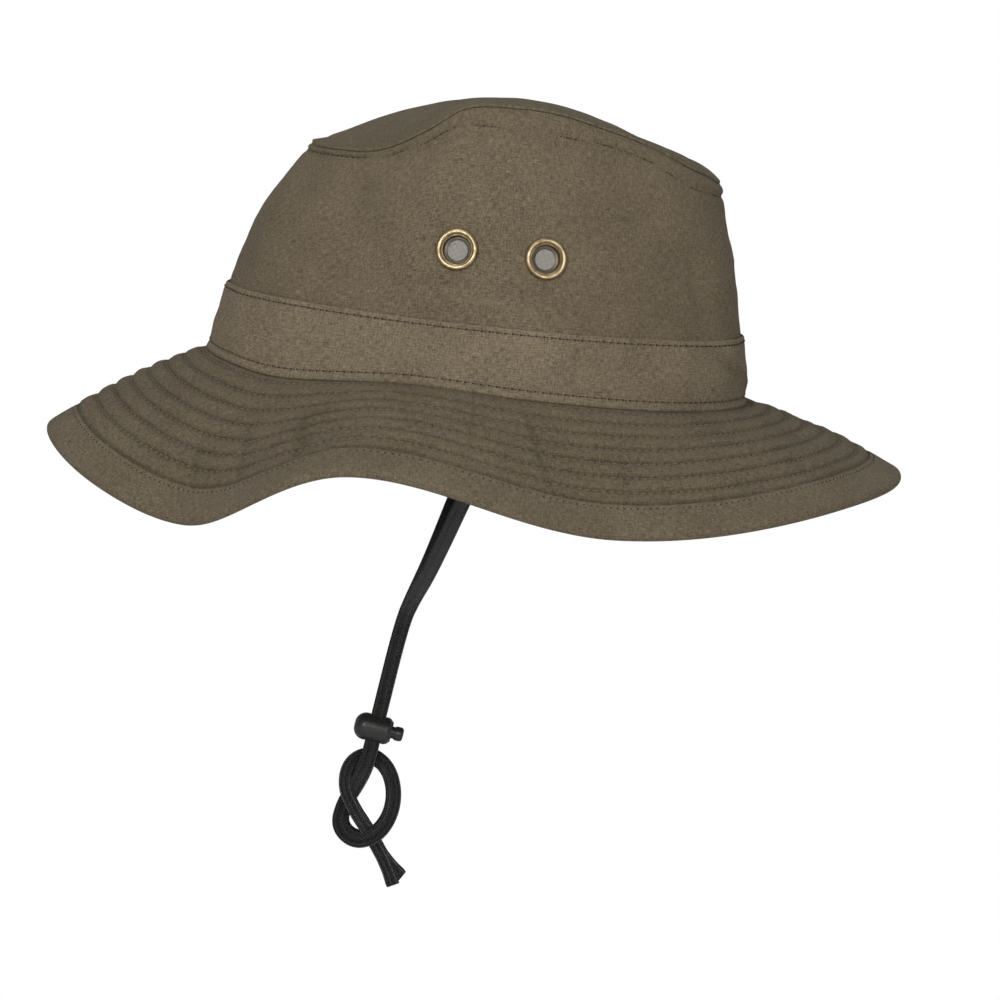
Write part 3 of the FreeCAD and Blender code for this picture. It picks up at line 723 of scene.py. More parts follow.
def spring_steel():
    paint = Paint("spring_steel", Metallic=1.0)
    drawn = paint.noise(paint.coordinates((1.0, 1.0, 1.0)), 4000.0, 2.0)
    paint.set(Base_Color=paint.blend(drawn, rgb(120, 120, 122), rgb(186, 186, 188)),
              Roughness=(0.2 + drawn * 0.2).held())
    return paint.material


def stiff_felt():
    """Pressed interlining inside the brim."""
    paint = Paint("pressed_interlining", Roughness=0.95)
    fibres = paint.noise(paint.coordinates((1.0, 1.0, 1.0)), 1500.0, 4.0, 0.7)
    paint.set(Base_Color=paint.blend(fibres, rgb(196, 192, 182), rgb(226, 222, 212)))
    paint.bump(fibres, 0.0002)
    return paint.material


BRASS, THROAT_BRASS_PAINTED_SHADE, SCREEN_WIRE = antique_brass(), throat_brass_painted_shade(), bright_wire()
BRAID, PLASTIC, STEEL, FELT = black_braid(), black_plastic(), spring_steel(), stiff_felt()

# ---------------------------------------------------------------- camera and studio

CAMERA_AWAY, CAMERA_RISE, CAMERA_ROLL = 1.8, math.radians(5.6), math.radians(6.09)
AIM = Vector((0.0, 0.0142, -0.048))
SENSOR, VIEW_WIDTH = 36.0, 0.3856
FLOOR_HEIGHT = -0.45


def aim_at(thing, target, up):
    """Turn an object so that its -Z looks at target and its Y follows up."""
    back = (thing.location - target).normalized()
    right = up.cross(back).normalized()
    thing.rotation_euler = Matrix((right, back.cross(right), back)).transposed().to_euler()


def set_camera():
    camera = bpy.data.objects.new("camera", bpy.data.cameras.new("camera"))
    bpy.context.scene.collection.objects.link(camera)
    camera.location = Vector((math.cos(CAMERA_RISE), 0, math.sin(CAMERA_RISE))) * CAMERA_AWAY
    aim_at(camera, AIM, Vector((0, -math.sin(CAMERA_ROLL), math.cos(CAMERA_ROLL))))
    camera.data.sensor_width = SENSOR
    camera.data.lens = SENSOR * CAMERA_AWAY / VIEW_WIDTH
    bpy.context.scene.camera = camera


def add_lamp(name, place_at, size, power):
    lamp = bpy.data.lights.new(name, "AREA")
    lamp.shape = "DISK"
    lamp.size = size
    lamp.energy = power
    thing = bpy.data.objects.new(name, lamp)
    bpy.context.scene.collection.objects.link(thing)
    thing.location = place_at
    aim_at(thing, Vector((0, 0, 0)), Vector((0, 0, 1)))


def add_studio():
    """A pale floor that curves up into a backdrop all round, white world and soft lamps."""
    paper = bpy.data.materials.new("pale_studio_paper")
    paper.use_nodes = True
    nodes, links = paper.node_tree.nodes, paper.node_tree.links
    nodes["Principled BSDF"].inputs["Base Color"].default_value = (0.85, 0.85, 0.85, 1)
    white = nodes.new("ShaderNodeEmission")
    seen = nodes.new("ShaderNodeLightPath")
    mixed = nodes.new("ShaderNodeMixShader")
    links.new(seen.outputs["Is Camera Ray"], mixed.inputs[0])
    links.new(nodes["Principled BSDF"].outputs[0], mixed.inputs[1])
    links.new(white.outputs[0], mixed.inputs[2])
    links.new(mixed.outputs[0], nodes["Material Output"].inputs["Surface"])
    reach, sweep, height, turns = 4.0, 1.2, 6.0, 64
    profile = [(0.0, 0.0)] + [(reach + sweep * math.sin(t), sweep * (1 - math.cos(t)))
                              for t in spread(0, math.pi / 2, 13)] + [(reach + sweep, height)]
    points, faces = [], []
    for step in range(turns):
        angle = 2 * math.pi * step / turns
        points += [(r * math.cos(angle), r * math.sin(angle), FLOOR_HEIGHT + z) for r, z in profile]
    rows = len(profile)
    for step in range(turns):
        ahead = (step + 1) % turns
        for row in range(rows - 1):
            faces.append((step * rows + row, ahead * rows + row, ahead * rows + row + 1,
                          step * rows + row + 1))
    mesh = bpy.data.meshes.new("studio_paper")
    mesh.from_pydata(points, [], faces)
    mesh.shade_smooth()
    mesh.materials.append(paper)
    add_object("studio_paper", mesh)

    world = bpy.data.worlds.new("studio")
    world.use_nodes = True
    world.node_tree.nodes["Background"].inputs["Color"].default_value = (1, 1, 1, 1)
    world.node_tree.nodes["Background"].inputs["Strength"].default_value = 0.45
    bpy.context.scene.world = world
    bpy.context.scene.view_settings.view_transform = "Standard"

    add_lamp("key_softbox", Vector((1.7, -0.6, 0.55)), 0.8, 11.0)
    add_lamp("fill_softbox", Vector((1.7, 0.7, 0.45)), 0.8, 7.0)
    add_lamp("top_softbox", Vector((0.5, -0.4, 1.7)), 1.0, 4.0)


set_camera()
add_studio()

# ---------------------------------------------------------------- chin cords


def spline_points(name, route):
    """Points along the smooth line that a route's control points give."""
    line = bpy.data.curves.new(name, "CURVE")
    line.dimensions = "3D"
    line.resolution_u = 14
    spline = line.splines.new("NURBS")
    spline.points.add(len(route) - 1)
    for control, corner in zip(spline.points, route):
        control.co = (*(corner * MM), 1.0)
    spline.order_u = 3
    spline.use_endpoint_u = True
    thing = bpy.data.objects.new(name, line)
    mesh = bpy.data.meshes.new_from_object(thing)
    points = [v.co.copy() for v in mesh.vertices]
    bpy.data.objects.remove(thing)
    return points


def braid_section(count=28):
    """Flat braid cut across: rounded edges, and a shallow groove along the middle of each face."""
    ring = []
    for step in range(count):
        angle = 2 * math.pi * step / count
        across = math.copysign(abs(math.cos(angle)) ** 0.75, math.cos(angle))
        rise = math.copysign(abs(math.sin(angle)) ** 0.55, math.sin(angle))
        rise *= 1 - 0.16 * math.exp(-(across / 0.16) ** 2) - 0.05 * math.cos(across * 9)
        ring.append((across * CORD_WIDTH / 2 * MM, rise * CORD_THICK / 2 * MM * 0.98))
    return ring


def add_chin_cord(name, route, node):
    """A flat braid that follows the route, its width kept level from the patch on."""
    line = spline_points(name, route)
    section = braid_section()
    count = len(section)
    run = distances(line)
    across = (line[1] - line[0]).cross(Vector((1, 0, 0))).normalized()
    points, faces, places = [], [], []
    for i, centre in enumerate(line):
        ahead = (line[min(i + 1, len(line) - 1)] - line[max(i - 1, 0)]).normalized()
        across = (across - ahead * across.dot(ahead)).normalized()
        through = across.cross(ahead)
        left = run[-1] - run[i]
        flare = 1 + 0.16 * smooth_step(0.006, 0.0, left) - 0.10 * smooth_step(0.0012, 0.0, left)
        points += [centre + across * (u * flare) + through * v for u, v in section]
    for i in range(len(line) - 1):
        for j in range(count):
            after = (j + 1) % count
            faces.append((i * count + j, i * count + after, (i + 1) * count + after, (i + 1) * count + j))
            places += [(j / count, run[i]), ((j + 1) / count, run[i]),
                       ((j + 1) / count, run[i + 1]), (j / count, run[i + 1])]
    end = (len(line) - 1) * count
    faces.append(tuple(range(count)))
    faces.append(tuple(range(end, end + count)))
    places += [(j / count, 0.0) for j in range(count)] + [(j / count, run[-1]) for j in range(count)]
    mesh = bpy.data.meshes.new(name)
    mesh.from_pydata(points, [], faces)
    layer = mesh.uv_layers.new(name="threads")
    for loop, spot in enumerate(places):
        layer.data[loop].uv = spot
    cord = add_object(name, tidy_mesh(mesh))
    place(cord, "chin_cord", "cord_braid", BRAID, (node,))


def chin_cord_routes():
    left = CORD_FALL + [(x + CORD_PAIR_OFFSET, y, z) for x, y, z in KNOT + LEFT_TAIL]
    middle_y, middle_z = KNOT_MIDDLE
    loops = [(x - CORD_PAIR_OFFSET, middle_y + (y - middle_y) * RIGHT_LOOP_INSET,
              middle_z + (z - middle_z) * RIGHT_LOOP_INSET) for x, y, z in KNOT]
    right = ([(-x, y, z) for x, y, z in CORD_FALL] + loops
             + [(x - CORD_PAIR_OFFSET, y, z) for x, y, z in RIGHT_TAIL])
    return {"left": [Vector(p) for p in left], "right": [Vector(p) for p in right]}


for side, route in chin_cord_routes().items():
    add_chin_cord(f"chin_cord_{side}_braid", route, f"chin_cord_{side}")

# ---------------------------------------------------------------- crown


def add_crown_walls():
    stations = 190
    rows = 74
    seam = 0.1
    for side, start in (("left", -90), ("right", 90)):
        angles = spread(start + seam, start + 180 - seam, stations)
        face, back, smooth = [], [], []
        for a in angles:
            heights = spread(around("seam_wave", a), around("top_seam", a), rows)
            face.append([crown_point(a, z, 0) for z in heights])
            back.append([crown_point(a, z, -CROWN_CLOTH) for z in heights])
            smooth.append([wall_point(a, z, 0) for z in heights])
        name = f"crown_wall_{side}_cloth"
        wall = add_object(name, cloth_shell(name, face, back, False))
        punch_holes(wall, side)
        place(wall, "hat", "crown_cloth", CROWN_COTTON, (f"crown_wall_{side}",))
        width = distances([column[0] for column in smooth])[-1] * MM
        height = distances(smooth[stations // 2])[-1] * MM
        flat_area(smooth, False)


def punch_holes(wall, side):
    """Cut the two eyelet holes through a wall."""
    hole_radius, reach, sides = 5.8, 10.0, 48
    for name, (seat, facing) in EYELETS.items():
        if not name.startswith(side):
            continue
        cutter_mesh = bpy.data.meshes.new("eyelet_punch")
        cutting = bmesh.new()
        bmesh.ops.create_cone(cutting, cap_ends=True, segments=sides, radius1=hole_radius * MM,
                              radius2=hole_radius * MM, depth=2 * reach * MM)
        cutting.to_mesh(cutter_mesh)
        cutting.free()
        turn = facing.to_track_quat("Z", "Y").to_matrix().to_4x4()
        cutter_mesh.transform(Matrix.Translation(seat * MM) @ turn)
        cutter = add_object("eyelet_punch", cutter_mesh)
        punch = wall.modifiers.new("punch", "BOOLEAN")
        punch.object = cutter
        punch.operation = "DIFFERENCE"
        settle(wall)
        bpy.data.objects.remove(cutter)


def settle(thing):
    """Apply a piece's modifiers to its mesh."""
    ready = thing.evaluated_get(bpy.context.evaluated_depsgraph_get())
    mesh = bpy.data.meshes.new_from_object(ready)
    thing.modifiers.clear()
    thing.data = mesh
    return thing


add_crown_walls()


def top_relief(across, along):
    """Soft dents of the top panel; it dips a little just inside its seam."""
    edge = max(abs(across), abs(along))
    where = top_point(across, along, 0)
    broad = noise.noise(where / 30.0 + Vector((1.3, 8.1, 0.4)))
    middling = noise.noise(where / 11.0 + Vector((6.0, 1.1, 2.6)))
    inner = smooth_step(1.0, 0.86, edge)
    return inner * (0.8 * broad + 0.3 * middling) - 0.8 * math.exp(-((edge - 0.955) / 0.022) ** 2)


def add_top_panel():
    cuts = spread(-1, 1, 91)
    low, high = LAYER_GAP, LAYER_GAP + TOP_CLOTH
    face = [[top_point(a, b, high + top_relief(a, b)) for b in cuts] for a in cuts]
    back = [[top_point(a, b, low + top_relief(a, b)) for b in cuts] for a in cuts]
    smooth = [[top_point(a, b, high) for b in cuts] for a in cuts]
    panel = add_object("crown_top_cloth", cloth_shell("crown_top_cloth", face, back, False))
    place(panel, "hat", "crown_cloth", TOP_COTTON, ("crown_top",))
    flat_area(smooth, False)


add_top_panel()


def add_strip(name, low, high, out, thickness, inner_rows, edge, material, slot, nodes, lifts=None):
    """Folded strip of cloth that follows the creased wall right round the hat.

    low and high give its edges at an angle; lifts, if given, adds to how far it stands out.
    """
    angles = [RING_JOIN + a for a in spread(0, 360, 421)[:-1]]
    face, back, smooth = [], [], []
    for a in angles:
        bottom, top = low(a), high(a)
        stops = edge_stops(bottom, top, inner_rows, edge)
        outer, inner = [], []
        for z in stops:
            full = folded_edge(min(z - bottom, top - z), edge)
            middle = out + thickness / 2 + (lifts(a, z - bottom, top - z) if lifts else 0.0)
            outer.append(crown_point(a, z, middle + full * thickness / 2))
            inner.append(crown_point(a, z, middle - full * thickness / 2))
        face.append(outer)
        back.append(inner)
        smooth.append([wall_point(a, z, out) for z in stops])
    strip = add_object(name, cloth_shell(name, face, back, True))
    place(strip, "hat", slot, material, nodes)
    length = distances([column[0] for column in smooth] + [smooth[0][0]])[-1] * MM
    width = distances(smooth[0])[-1] * MM
    return strip, (length, width)


BAND_STITCH_TOP, BAND_STITCH_LOW = 1.9, 2.8


def band_lift(degrees, from_low, from_high):
    """The hat band is pulled in at its two stitch rows and rolls a little at its seam."""
    low_row = math.exp(-((from_low - BAND_STITCH_LOW) / 0.7) ** 2)
    high_row = math.exp(-((from_high - BAND_STITCH_TOP) / 0.7) ** 2)
    roll = 0.6 * math.exp(-((from_low - 1.1) / 1.2) ** 2)
    reach = degrees * math.radians(1) * 95
    ripple = 0.14 * noise.noise(Vector((reach / 5, from_low / 9, 2.0)))
    return roll + ripple - 0.3 * low_row - 0.25 * high_row


band, band_cut = add_strip(
    "hat_band_cloth", lambda a: around("seam_wave", a) + BAND_LOW - 0.9, lambda a: BAND_HIGH, LAYER_GAP,
    BAND_CLOTH, 24, 0.9, BAND_COTTON, "crown_cloth", ("hat_band",), band_lift)

inside = -CROWN_CLOTH - LAYER_GAP
sweatband, sweatband_cut = add_strip(
    "sweatband_cloth", lambda a: around("seam_wave", a) + SWEATBAND_LOW,
    lambda a: around("seam_wave", a) + SWEATBAND_HIGH, inside - SWEATBAND_CLOTH, SWEATBAND_CLOTH,
    17, 0.9, LINING_COTTON, "sweatband_cloth", ("sweatband",))

add_strip("crown_seam_tape_cloth", lambda a: around("top_seam", a) - TAPE_BELOW_SEAM - TAPE_WIDTH,
          lambda a: around("top_seam", a) - TAPE_BELOW_SEAM, inside - TAPE_CLOTH, TAPE_CLOTH, 7,
          0.5, LINING_COTTON, "lining_tape", ("crown_seam_tape",))

# ---------------------------------------------------------------- brim


def brim_runs(degrees, step, inset):
    """Stops across the brim, with every quilting row on a stop."""
    pieces_between = max(round(ROW_PITCH / step), 2)
    stops = [-1.5, 0.0, FIRST_ROW * 0.5]
    for row in range(ROW_COUNT - 1):
        start = FIRST_ROW + row * ROW_PITCH
        stops += [start + ROW_PITCH * k / pieces_between for k in range(pieces_between)]
    last = FIRST_ROW + ROW_PITCH * (ROW_COUNT - 1)
    stops += spread(last, brim_width(degrees) - inset, round((BRIM_WIDTH_MEAN - last) / step))
    return stops


def add_brim_layers():
    half = BRIM_CLOTH / 2
    seam = 0.02
    for layer, face_way, material in (("upper", 1, BRIM_COTTON), ("under", -1, UNDER_COTTON)):
        for end, start in (("front", 180), ("rear", 0)):
            angles = spread(start + seam, start + 180 - seam, 300)
            face, back, smooth = [], [], []
            for a in angles:
                stops = brim_runs(a, 0.92, BINDING_CENTRE)
                outer = [face_way * (BRIM_LAYER_PITCH + half + brim_puff(a, run, face_way))
                         for run in stops]
                inner = [lift - face_way * BRIM_CLOTH for lift in outer]
                face.append([brim_point(a, run, lift) for run, lift in zip(stops, outer)])
                back.append([brim_point(a, run, lift) for run, lift in zip(stops, inner)])
                smooth.append([brim_point(a, run, 0) for run in stops])
            name = f"brim_{layer}_{end}_cloth"
            cloth = add_object(name, cloth_shell(name, face, back, False))
            # Mask of the painted shade in the brim's valleys, creases and tuck under the binding.
            hollows = [brim_hollow(a, run) for a in angles for run in brim_runs(a, 0.92, BINDING_CENTRE)]
            shade_hollows(cloth.data, hollows + hollows)
            place(cloth, "hat", "brim_cloth", material, (f"brim_{layer}_{end}",))
            area = flat_area(smooth, False)


add_brim_layers()


def binding_section(degrees, side):
    """The binding cut across: along the top, round the brim's edge and back underneath."""
    edge = brim_width(degrees) - BINDING_CENTRE
    inner = edge + BINDING_CENTRE - BINDING_WIDTH
    radius = BINDING_CENTRE + side * BINDING_CLOTH / 2
    reach = degrees * math.radians(1) * 150
    section = []

    def rise(run, ripple):
        tuck = folded_edge(run - inner + 0.05, 1.0)
        dip = 0.35 * math.exp(-((run - inner - 1.6) / 0.8) ** 2)
        settle_down = 0.05 * (1 - smooth_step(0.0, 4.0, run - inner))
        return BINDING_CENTRE - settle_down - dip + ripple + side * tuck * BINDING_CLOTH / 2

    for run in spread(inner, edge, 13)[:-1]:
        ripple = 0.14 * noise.noise(Vector((reach / 6, run / 9, 1.0)))
        ripple += 0.22 * noise.noise(Vector((reach / 22, run / 14, 3.0)))
        section.append((run, rise(run, ripple)))
    for turn in spread(math.pi / 2, -math.pi / 2, 13):
        section.append((edge + radius * math.cos(turn), radius * math.sin(turn)))
    for run in reversed(spread(inner, edge, 13)[:-1]):
        ripple = 0.14 * noise.noise(Vector((reach / 6, run / 9, 5.0)))
        section.append((run, -rise(run, ripple)))
    return section


def add_binding():
    angles = [90 + a for a in spread(0, 360, 601)[:-1]]
    face = [[brim_point(a, run, lift) for run, lift in binding_section(a, 1)] for a in angles]
    back = [[brim_point(a, run, lift) for run, lift in binding_section(a, -1)] for a in angles]
    name = "brim_binding_cloth"
    binding = add_object(name, cloth_shell(name, face, back, True))
    place(binding, "hat", "brim_cloth", BINDING_COTTON, ("brim_binding",))
    smooth = [[brim_point(a, run, lift) for run, lift in binding_section(a, 0)] for a in angles]
    edge = distances([column[18] for column in smooth] + [smooth[0][18]])[-1] * MM
    width = distances(smooth[0])[-1] * MM


add_binding()

# ---------------------------------------------------------------- stitching


class Builder:
    """A Geometry Nodes tree with named inputs."""

    KINDS = {"length": "NodeSocketFloat", "count": "NodeSocketInt", "material": "NodeSocketMaterial"}

    def __init__(self, name, **inputs):
        self.tree = bpy.data.node_groups.new(name, "GeometryNodeTree")
        self.tree.interface.new_socket("Geometry", in_out="INPUT", socket_type="NodeSocketGeometry")
        for label, kind in inputs.items():
            self.tree.interface.new_socket(label, in_out="INPUT", socket_type=self.KINDS[kind])
        self.tree.interface.new_socket("Geometry", in_out="OUTPUT", socket_type="NodeSocketGeometry")
        self.start = self.tree.nodes.new("NodeGroupInput")
        self.end = self.tree.nodes.new("NodeGroupOutput")

    def given(self, label):
        return self.start.outputs[label]

    def add(self, kind, settings, inputs, output=0):
        node = self.tree.nodes.new(kind)
        for setting, value in settings.items():
            setattr(node, setting, value)
        for socket, value in inputs.items():
            if isinstance(value, bpy.types.NodeSocket):
                self.tree.links.new(value, node.inputs[socket])
            else:
                node.inputs[socket].default_value = value
        return node.outputs[output]

    def finish(self, geometry):
        real = self.add("GeometryNodeRealizeInstances", {}, {"Geometry": geometry})
        smooth = self.add("GeometryNodeSetShadeSmooth", {}, {"Geometry": real})
        dressed = self.add("GeometryNodeSetMaterial", {},
                           {"Geometry": smooth, "Material": self.given("Material")})
        self.tree.links.new(dressed, self.end.inputs[0])
        return self.tree


def stitch_tree():
    """Sunken grains of thread, one to a pitch, along every line of a mesh of lines."""
    make = Builder("stitch_rows", Pitch="length", Stitch="length", Thread="length",
                   Material="material")
    lines = make.add("GeometryNodeMeshToCurve", {}, {"Mesh": make.given("Geometry")})
    spaced = make.add("GeometryNodeResampleCurve", {"mode": "LENGTH"},
                      {"Curve": lines, "Length": make.given("Pitch")})
    grain = make.add("GeometryNodeMeshUVSphere", {}, {"Segments": 6, "Rings": 5, "Radius": 0.5})
    size = make.add("ShaderNodeCombineXYZ", {}, {0: make.given("Thread"), 1: make.given("Thread"),
                                                 2: make.given("Stitch")})
    shaped = make.add("GeometryNodeTransform", {}, {"Geometry": grain, "Scale": size})
    tangent = make.add("GeometryNodeInputTangent", {}, {})
    facing = make.add("FunctionNodeAlignRotationToVector", {"axis": "Z"}, {"Vector": tangent})
    placed = make.add("GeometryNodeInstanceOnPoints", {},
                      {"Points": spaced, "Instance": shaped, "Rotation": facing})
    return make.finish(placed)


def wire_tree():
    """Round wire along every line of a mesh of lines."""
    make = Builder("wires", Wire="length", Material="material")
    lines = make.add("GeometryNodeMeshToCurve", {}, {"Mesh": make.given("Geometry")})
    round_wire = make.add("GeometryNodeCurvePrimitiveCircle", {"mode": "RADIUS"},
                          {"Resolution": 6, "Radius": make.given("Wire")})
    swept = make.add("GeometryNodeCurveToMesh", {}, {"Curve": lines, "Profile Curve": round_wire,
                                                     "Fill Caps": True})
    return make.finish(swept)


STITCHES, WIRES = stitch_tree(), wire_tree()


def along_lines(name, lines, tree, closed, **inputs):
    """Run a tree along lines of points and keep the result as a plain mesh."""
    points, edges = [], []
    for line in lines:
        first = len(points)
        points += [p * MM for p in line]
        edges += [(first + i, first + i + 1) for i in range(len(line) - 1)]
        if closed:
            edges.append((first + len(line) - 1, first))
    mesh = bpy.data.meshes.new(name)
    mesh.from_pydata(points, edges, [])
    thing = add_object(name, mesh)
    modifier = thing.modifiers.new("build", "NODES")
    modifier.node_group = tree
    for item in tree.interface.items_tree:
        if item.in_out == "INPUT" and item.name in inputs:
            modifier[item.identifier] = inputs[item.name]
    return settle(thing)


ROUND_THE_HAT = spread(0, 360, 721)[:-1]


def stitch(name, lines, thread, slot, closed=True, pitch=3.1, length=2.15, thick=0.5):
    rows = along_lines(name, lines, STITCHES, closed, Pitch=pitch * MM, Stitch=length * MM,
                       Thread=thick * MM, Material=thread)
    return place(rows, "hat", slot, thread)


def needle_holes(name, lines, slot, pitch=3.1, wide=0.75):
    """Dark pricks half way between the stitches of closed rows: painted shade in the needle holes."""
    moved = []
    for line in lines:
        step = distances(line)[-1] / len(line)
        ahead = max(round(pitch / 2 / step), 1)
        moved.append(line[ahead:] + line[:ahead])
    rows = along_lines(name, moved, STITCHES, True, Pitch=pitch * MM, Stitch=wide * 1.2 * MM,
                       Thread=wide * MM, Material=NEEDLE_HOLE_SHADE)
    return place(rows, "hat", slot, NEEDLE_HOLE_SHADE)


def row_line(run_at, face):
    """A row of stitching round the brim, in the valley between two puffs."""
    line = []
    for a in ROUND_THE_HAT:
        run = run_at(a)
        lift = face * (BRIM_LAYER_PITCH + BRIM_CLOTH / 2 + 0.12 + brim_puff(a, run, face))
        line.append(brim_point(a, run, lift))
    return line


for layer, face in (("upper", 1), ("under", -1)):
    rows = [row_line(lambda a, r=row: FIRST_ROW + ROW_PITCH * r, face) for row in range(ROW_COUNT)]
    stitch(f"brim_{layer}_stitches", rows, PALE_THREAD, "brim_cloth")

BINDING_STITCH = 1.6


def binding_line(face):
    line = []
    for a in ROUND_THE_HAT:
        run = brim_width(a) - BINDING_WIDTH + BINDING_STITCH
        line.append(brim_point(a, run, face * (BINDING_CENTRE - 0.12)))
    return line


binding_rows = [binding_line(1), binding_line(-1)]
stitch("binding_stitches", binding_rows, PALE_THREAD, "brim_cloth", pitch=2.6, length=1.5)
needle_holes("binding_needle_holes", binding_rows, "brim_cloth", 2.6)


def wall_line(height_at, out):
    return [crown_point(a, height_at(a), out) for a in ROUND_THE_HAT]


band_face = LAYER_GAP + BAND_CLOTH
band_rows = [
    wall_line(lambda a: BAND_HIGH - BAND_STITCH_TOP, band_face - 0.12),
    wall_line(lambda a: around("seam_wave", a) + BAND_LOW + BAND_STITCH_LOW, band_face - 0.12),
]
top_row = [wall_line(lambda a: around("top_seam", a) - around("top_stitch", a), 0.1)]
stitch("hat_band_stitches", band_rows, DARK_THREAD, "crown_cloth", pitch=2.9, length=1.9)
needle_holes("hat_band_needle_holes", band_rows, "crown_cloth", 2.9)
stitch("crown_top_stitches", top_row, DARK_THREAD, "crown_cloth", pitch=2.9, length=1.9)
needle_holes("crown_top_needle_holes", top_row, "crown_cloth", 2.9)
stitch("sweatband_stitches", [
    wall_line(lambda a: around("seam_wave", a) + SWEATBAND_HIGH - 2.2, inside - SWEATBAND_CLOTH - 0.02),
    wall_line(lambda a: around("seam_wave", a) + SWEATBAND_LOW + 2.4, inside - SWEATBAND_CLOTH - 0.02),
], DARK_THREAD, "sweatband_cloth")
stitch("seam_tape_stitches", [
    wall_line(lambda a: around("top_seam", a) - TAPE_BELOW_SEAM - 1.4, inside - TAPE_CLOTH - 0.02),
    wall_line(lambda a: around("top_seam", a) - TAPE_BELOW_SEAM - TAPE_WIDTH + 1.4,
              inside - TAPE_CLOTH - 0.02),
], DARK_THREAD, "lining_tape")

# ---------------------------------------------------------------- eyelets


def lathed(name, profile, turns=96):
    """Closed ring turned about Z from a closed profile of (radius, height), in millimetres."""
    count = len(profile)
    points, faces = [], []
    for step in range(turns):
        angle = 2 * math.pi * step / turns
        points += [(r * math.cos(angle) * MM, r * math.sin(angle) * MM, z * MM) for r, z in profile]
    for step in range(turns):
        ahead = (step + 1) % turns
        for row in range(count):
            after = (row + 1) % count
            faces.append((step * count + row, ahead * count + row, ahead * count + after,
                          step * count + after))
    mesh = bpy.data.meshes.new(name)
    mesh.from_pydata(points, [], faces)
    return mesh


def arc(centre, radius, start, end, count):
    """Points of an arc, in degrees, for a profile."""
    return [(centre[0] + radius[0] * math.cos(math.radians(t)),
             centre[1] + radius[1] * math.sin(math.radians(t))) for t in spread(start, end, count)]


def eyelet_profile():
    """A rolled brass rim, a throat that dives inwards and a barrel curled over its washer."""
    rim = arc((6.75, 0.25), (1.15, 1.35), 0, 180, 17)
    return ([(7.85, 0.15)] + rim[1:] + [(5.5, -0.2), (5.1, -0.5), (4.95, -1.0), (4.9, -1.7),
            (4.0, -1.85), (3.8, -2.0), (3.8, -2.9), (3.9, -3.3)]
            + [(6.5, -3.3), (6.8, -3.0), (6.7, -2.7), (5.5, -2.7), (5.5, 0.15)])


def seat_matrix(seat, facing):
    return Matrix.Translation(seat * MM) @ facing.to_track_quat("Z", "Y").to_matrix().to_4x4()


def screen_lines(seat, facing):
    """Wires of a small woven screen, in and out of each other both ways."""
    radius, pitch, depth, wave = 4.4, 0.46, -2.3, 0.09
    turn = facing.to_track_quat("Z", "Y").to_matrix()
    lines = []
    wires = int(radius / pitch)
    for way in (0, 1):
        for wire in range(-wires, wires + 1):
            off = wire * pitch
            half = math.sqrt(radius**2 - off**2)
            line = []
            for s in spread(-half, half, max(int(half * 10), 6)):
                lift = wave * math.cos(math.pi * (s / pitch + wire + way))
                flat = (s, off) if way == 0 else (off, s)
                line.append(seat + turn @ Vector((*flat, depth + lift)))
            lines.append(line)
    return lines


def add_eyelets():
    for name, (seat, facing) in EYELETS.items():
        mesh = lathed(f"eyelet_{name}_brass", eyelet_profile())
        mesh.transform(seat_matrix(seat, facing))
        eyelet = add_object(f"eyelet_{name}_brass", tidy_mesh(mesh))
        place(eyelet, "hat", "antique_brass", BRASS, (f"eyelet_{name}",))
        eyelet.data.materials.append(THROAT_BRASS_PAINTED_SHADE)
        # Painted shade: the throat inside the rim and every face below the cloth take the darker brass.
        for polygon in eyelet.data.polygons:
            depth = (polygon.center / MM - seat).dot(facing)
            across = ((polygon.center / MM - seat) - facing * depth).length
            polygon.material_index = 1 if across < 5.45 or depth < 0.1 else 0
        screen = along_lines(f"eyelet_screen_{name}_mesh", screen_lines(seat, facing), WIRES, False,
                             Wire=0.12 * MM, Material=SCREEN_WIRE)
        place(screen, "hat", "screen_wire", SCREEN_WIRE, (f"eyelet_screen_{name}",))
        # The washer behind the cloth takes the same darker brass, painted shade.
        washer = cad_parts[f"eyelet_washer_{name}"]
        washer.data.materials.clear()
        washer.data.materials.append(THROAT_BRASS_PAINTED_SHADE)


add_eyelets()

# ---------------------------------------------------------------- cord patches


def add_cord_patches():
    """Cloth tabs that hold the ends of the chin cords against the sweatband."""
    wide, tall, thick = 11.0, 8.0, 1.0
    middle_height, inset, corner = 4.8, 3.5, 1.4
    for side in ("left", "right"):
        degrees = side_angle(side, 6.0)
        facing = wall_facing(degrees, middle_height)
        middle = wall_point(degrees, middle_height, 0) - facing * inset
        level = Vector((0, 0, 1)).cross(facing).normalized()
        up = facing.cross(level)
        columns, rows = 23, 17
        face, back = [], []
        for a in spread(-1, 1, columns):
            outer, inner = [], []
            for b in spread(-1, 1, rows):
                across = a * (wide / 2 - corner * 0.22 * b * b)
                rise = b * (tall / 2 - corner * 0.22 * a * a)
                edge = min(wide / 2 * (1 - abs(a)), tall / 2 * (1 - abs(b)))
                full = folded_edge(edge, 0.8) * thick / 2
                spot = middle + level * across + up * rise
                outer.append(spot - facing * full)
                inner.append(spot + facing * full)
            face.append(outer)
            back.append(inner)
        name = f"cord_patch_{side}_cloth"
        patch = add_object(name, cloth_shell(name, face, back, False))
        place(patch, "hat", "lining_tape", LINING_COTTON, (f"cord_patch_{side}",))
        box = [(-4.2, -2.8), (4.2, -2.8), (4.2, 2.8), (-4.2, 2.8), (-4.2, -2.8), (4.2, 2.8)]
        corners = [middle + level * u + up * v - facing * (thick / 2) for u, v in box]
        line = []
        for first, last in zip(corners, corners[1:]):
            line += [first.lerp(last, s) for s in spread(0, 1, 12)[:-1]]
        stitch(f"cord_patch_{side}_stitches", [line + [corners[-1]]], DARK_THREAD, "lining_tape",
               closed=False, pitch=1.6, length=1.2, thick=0.35)


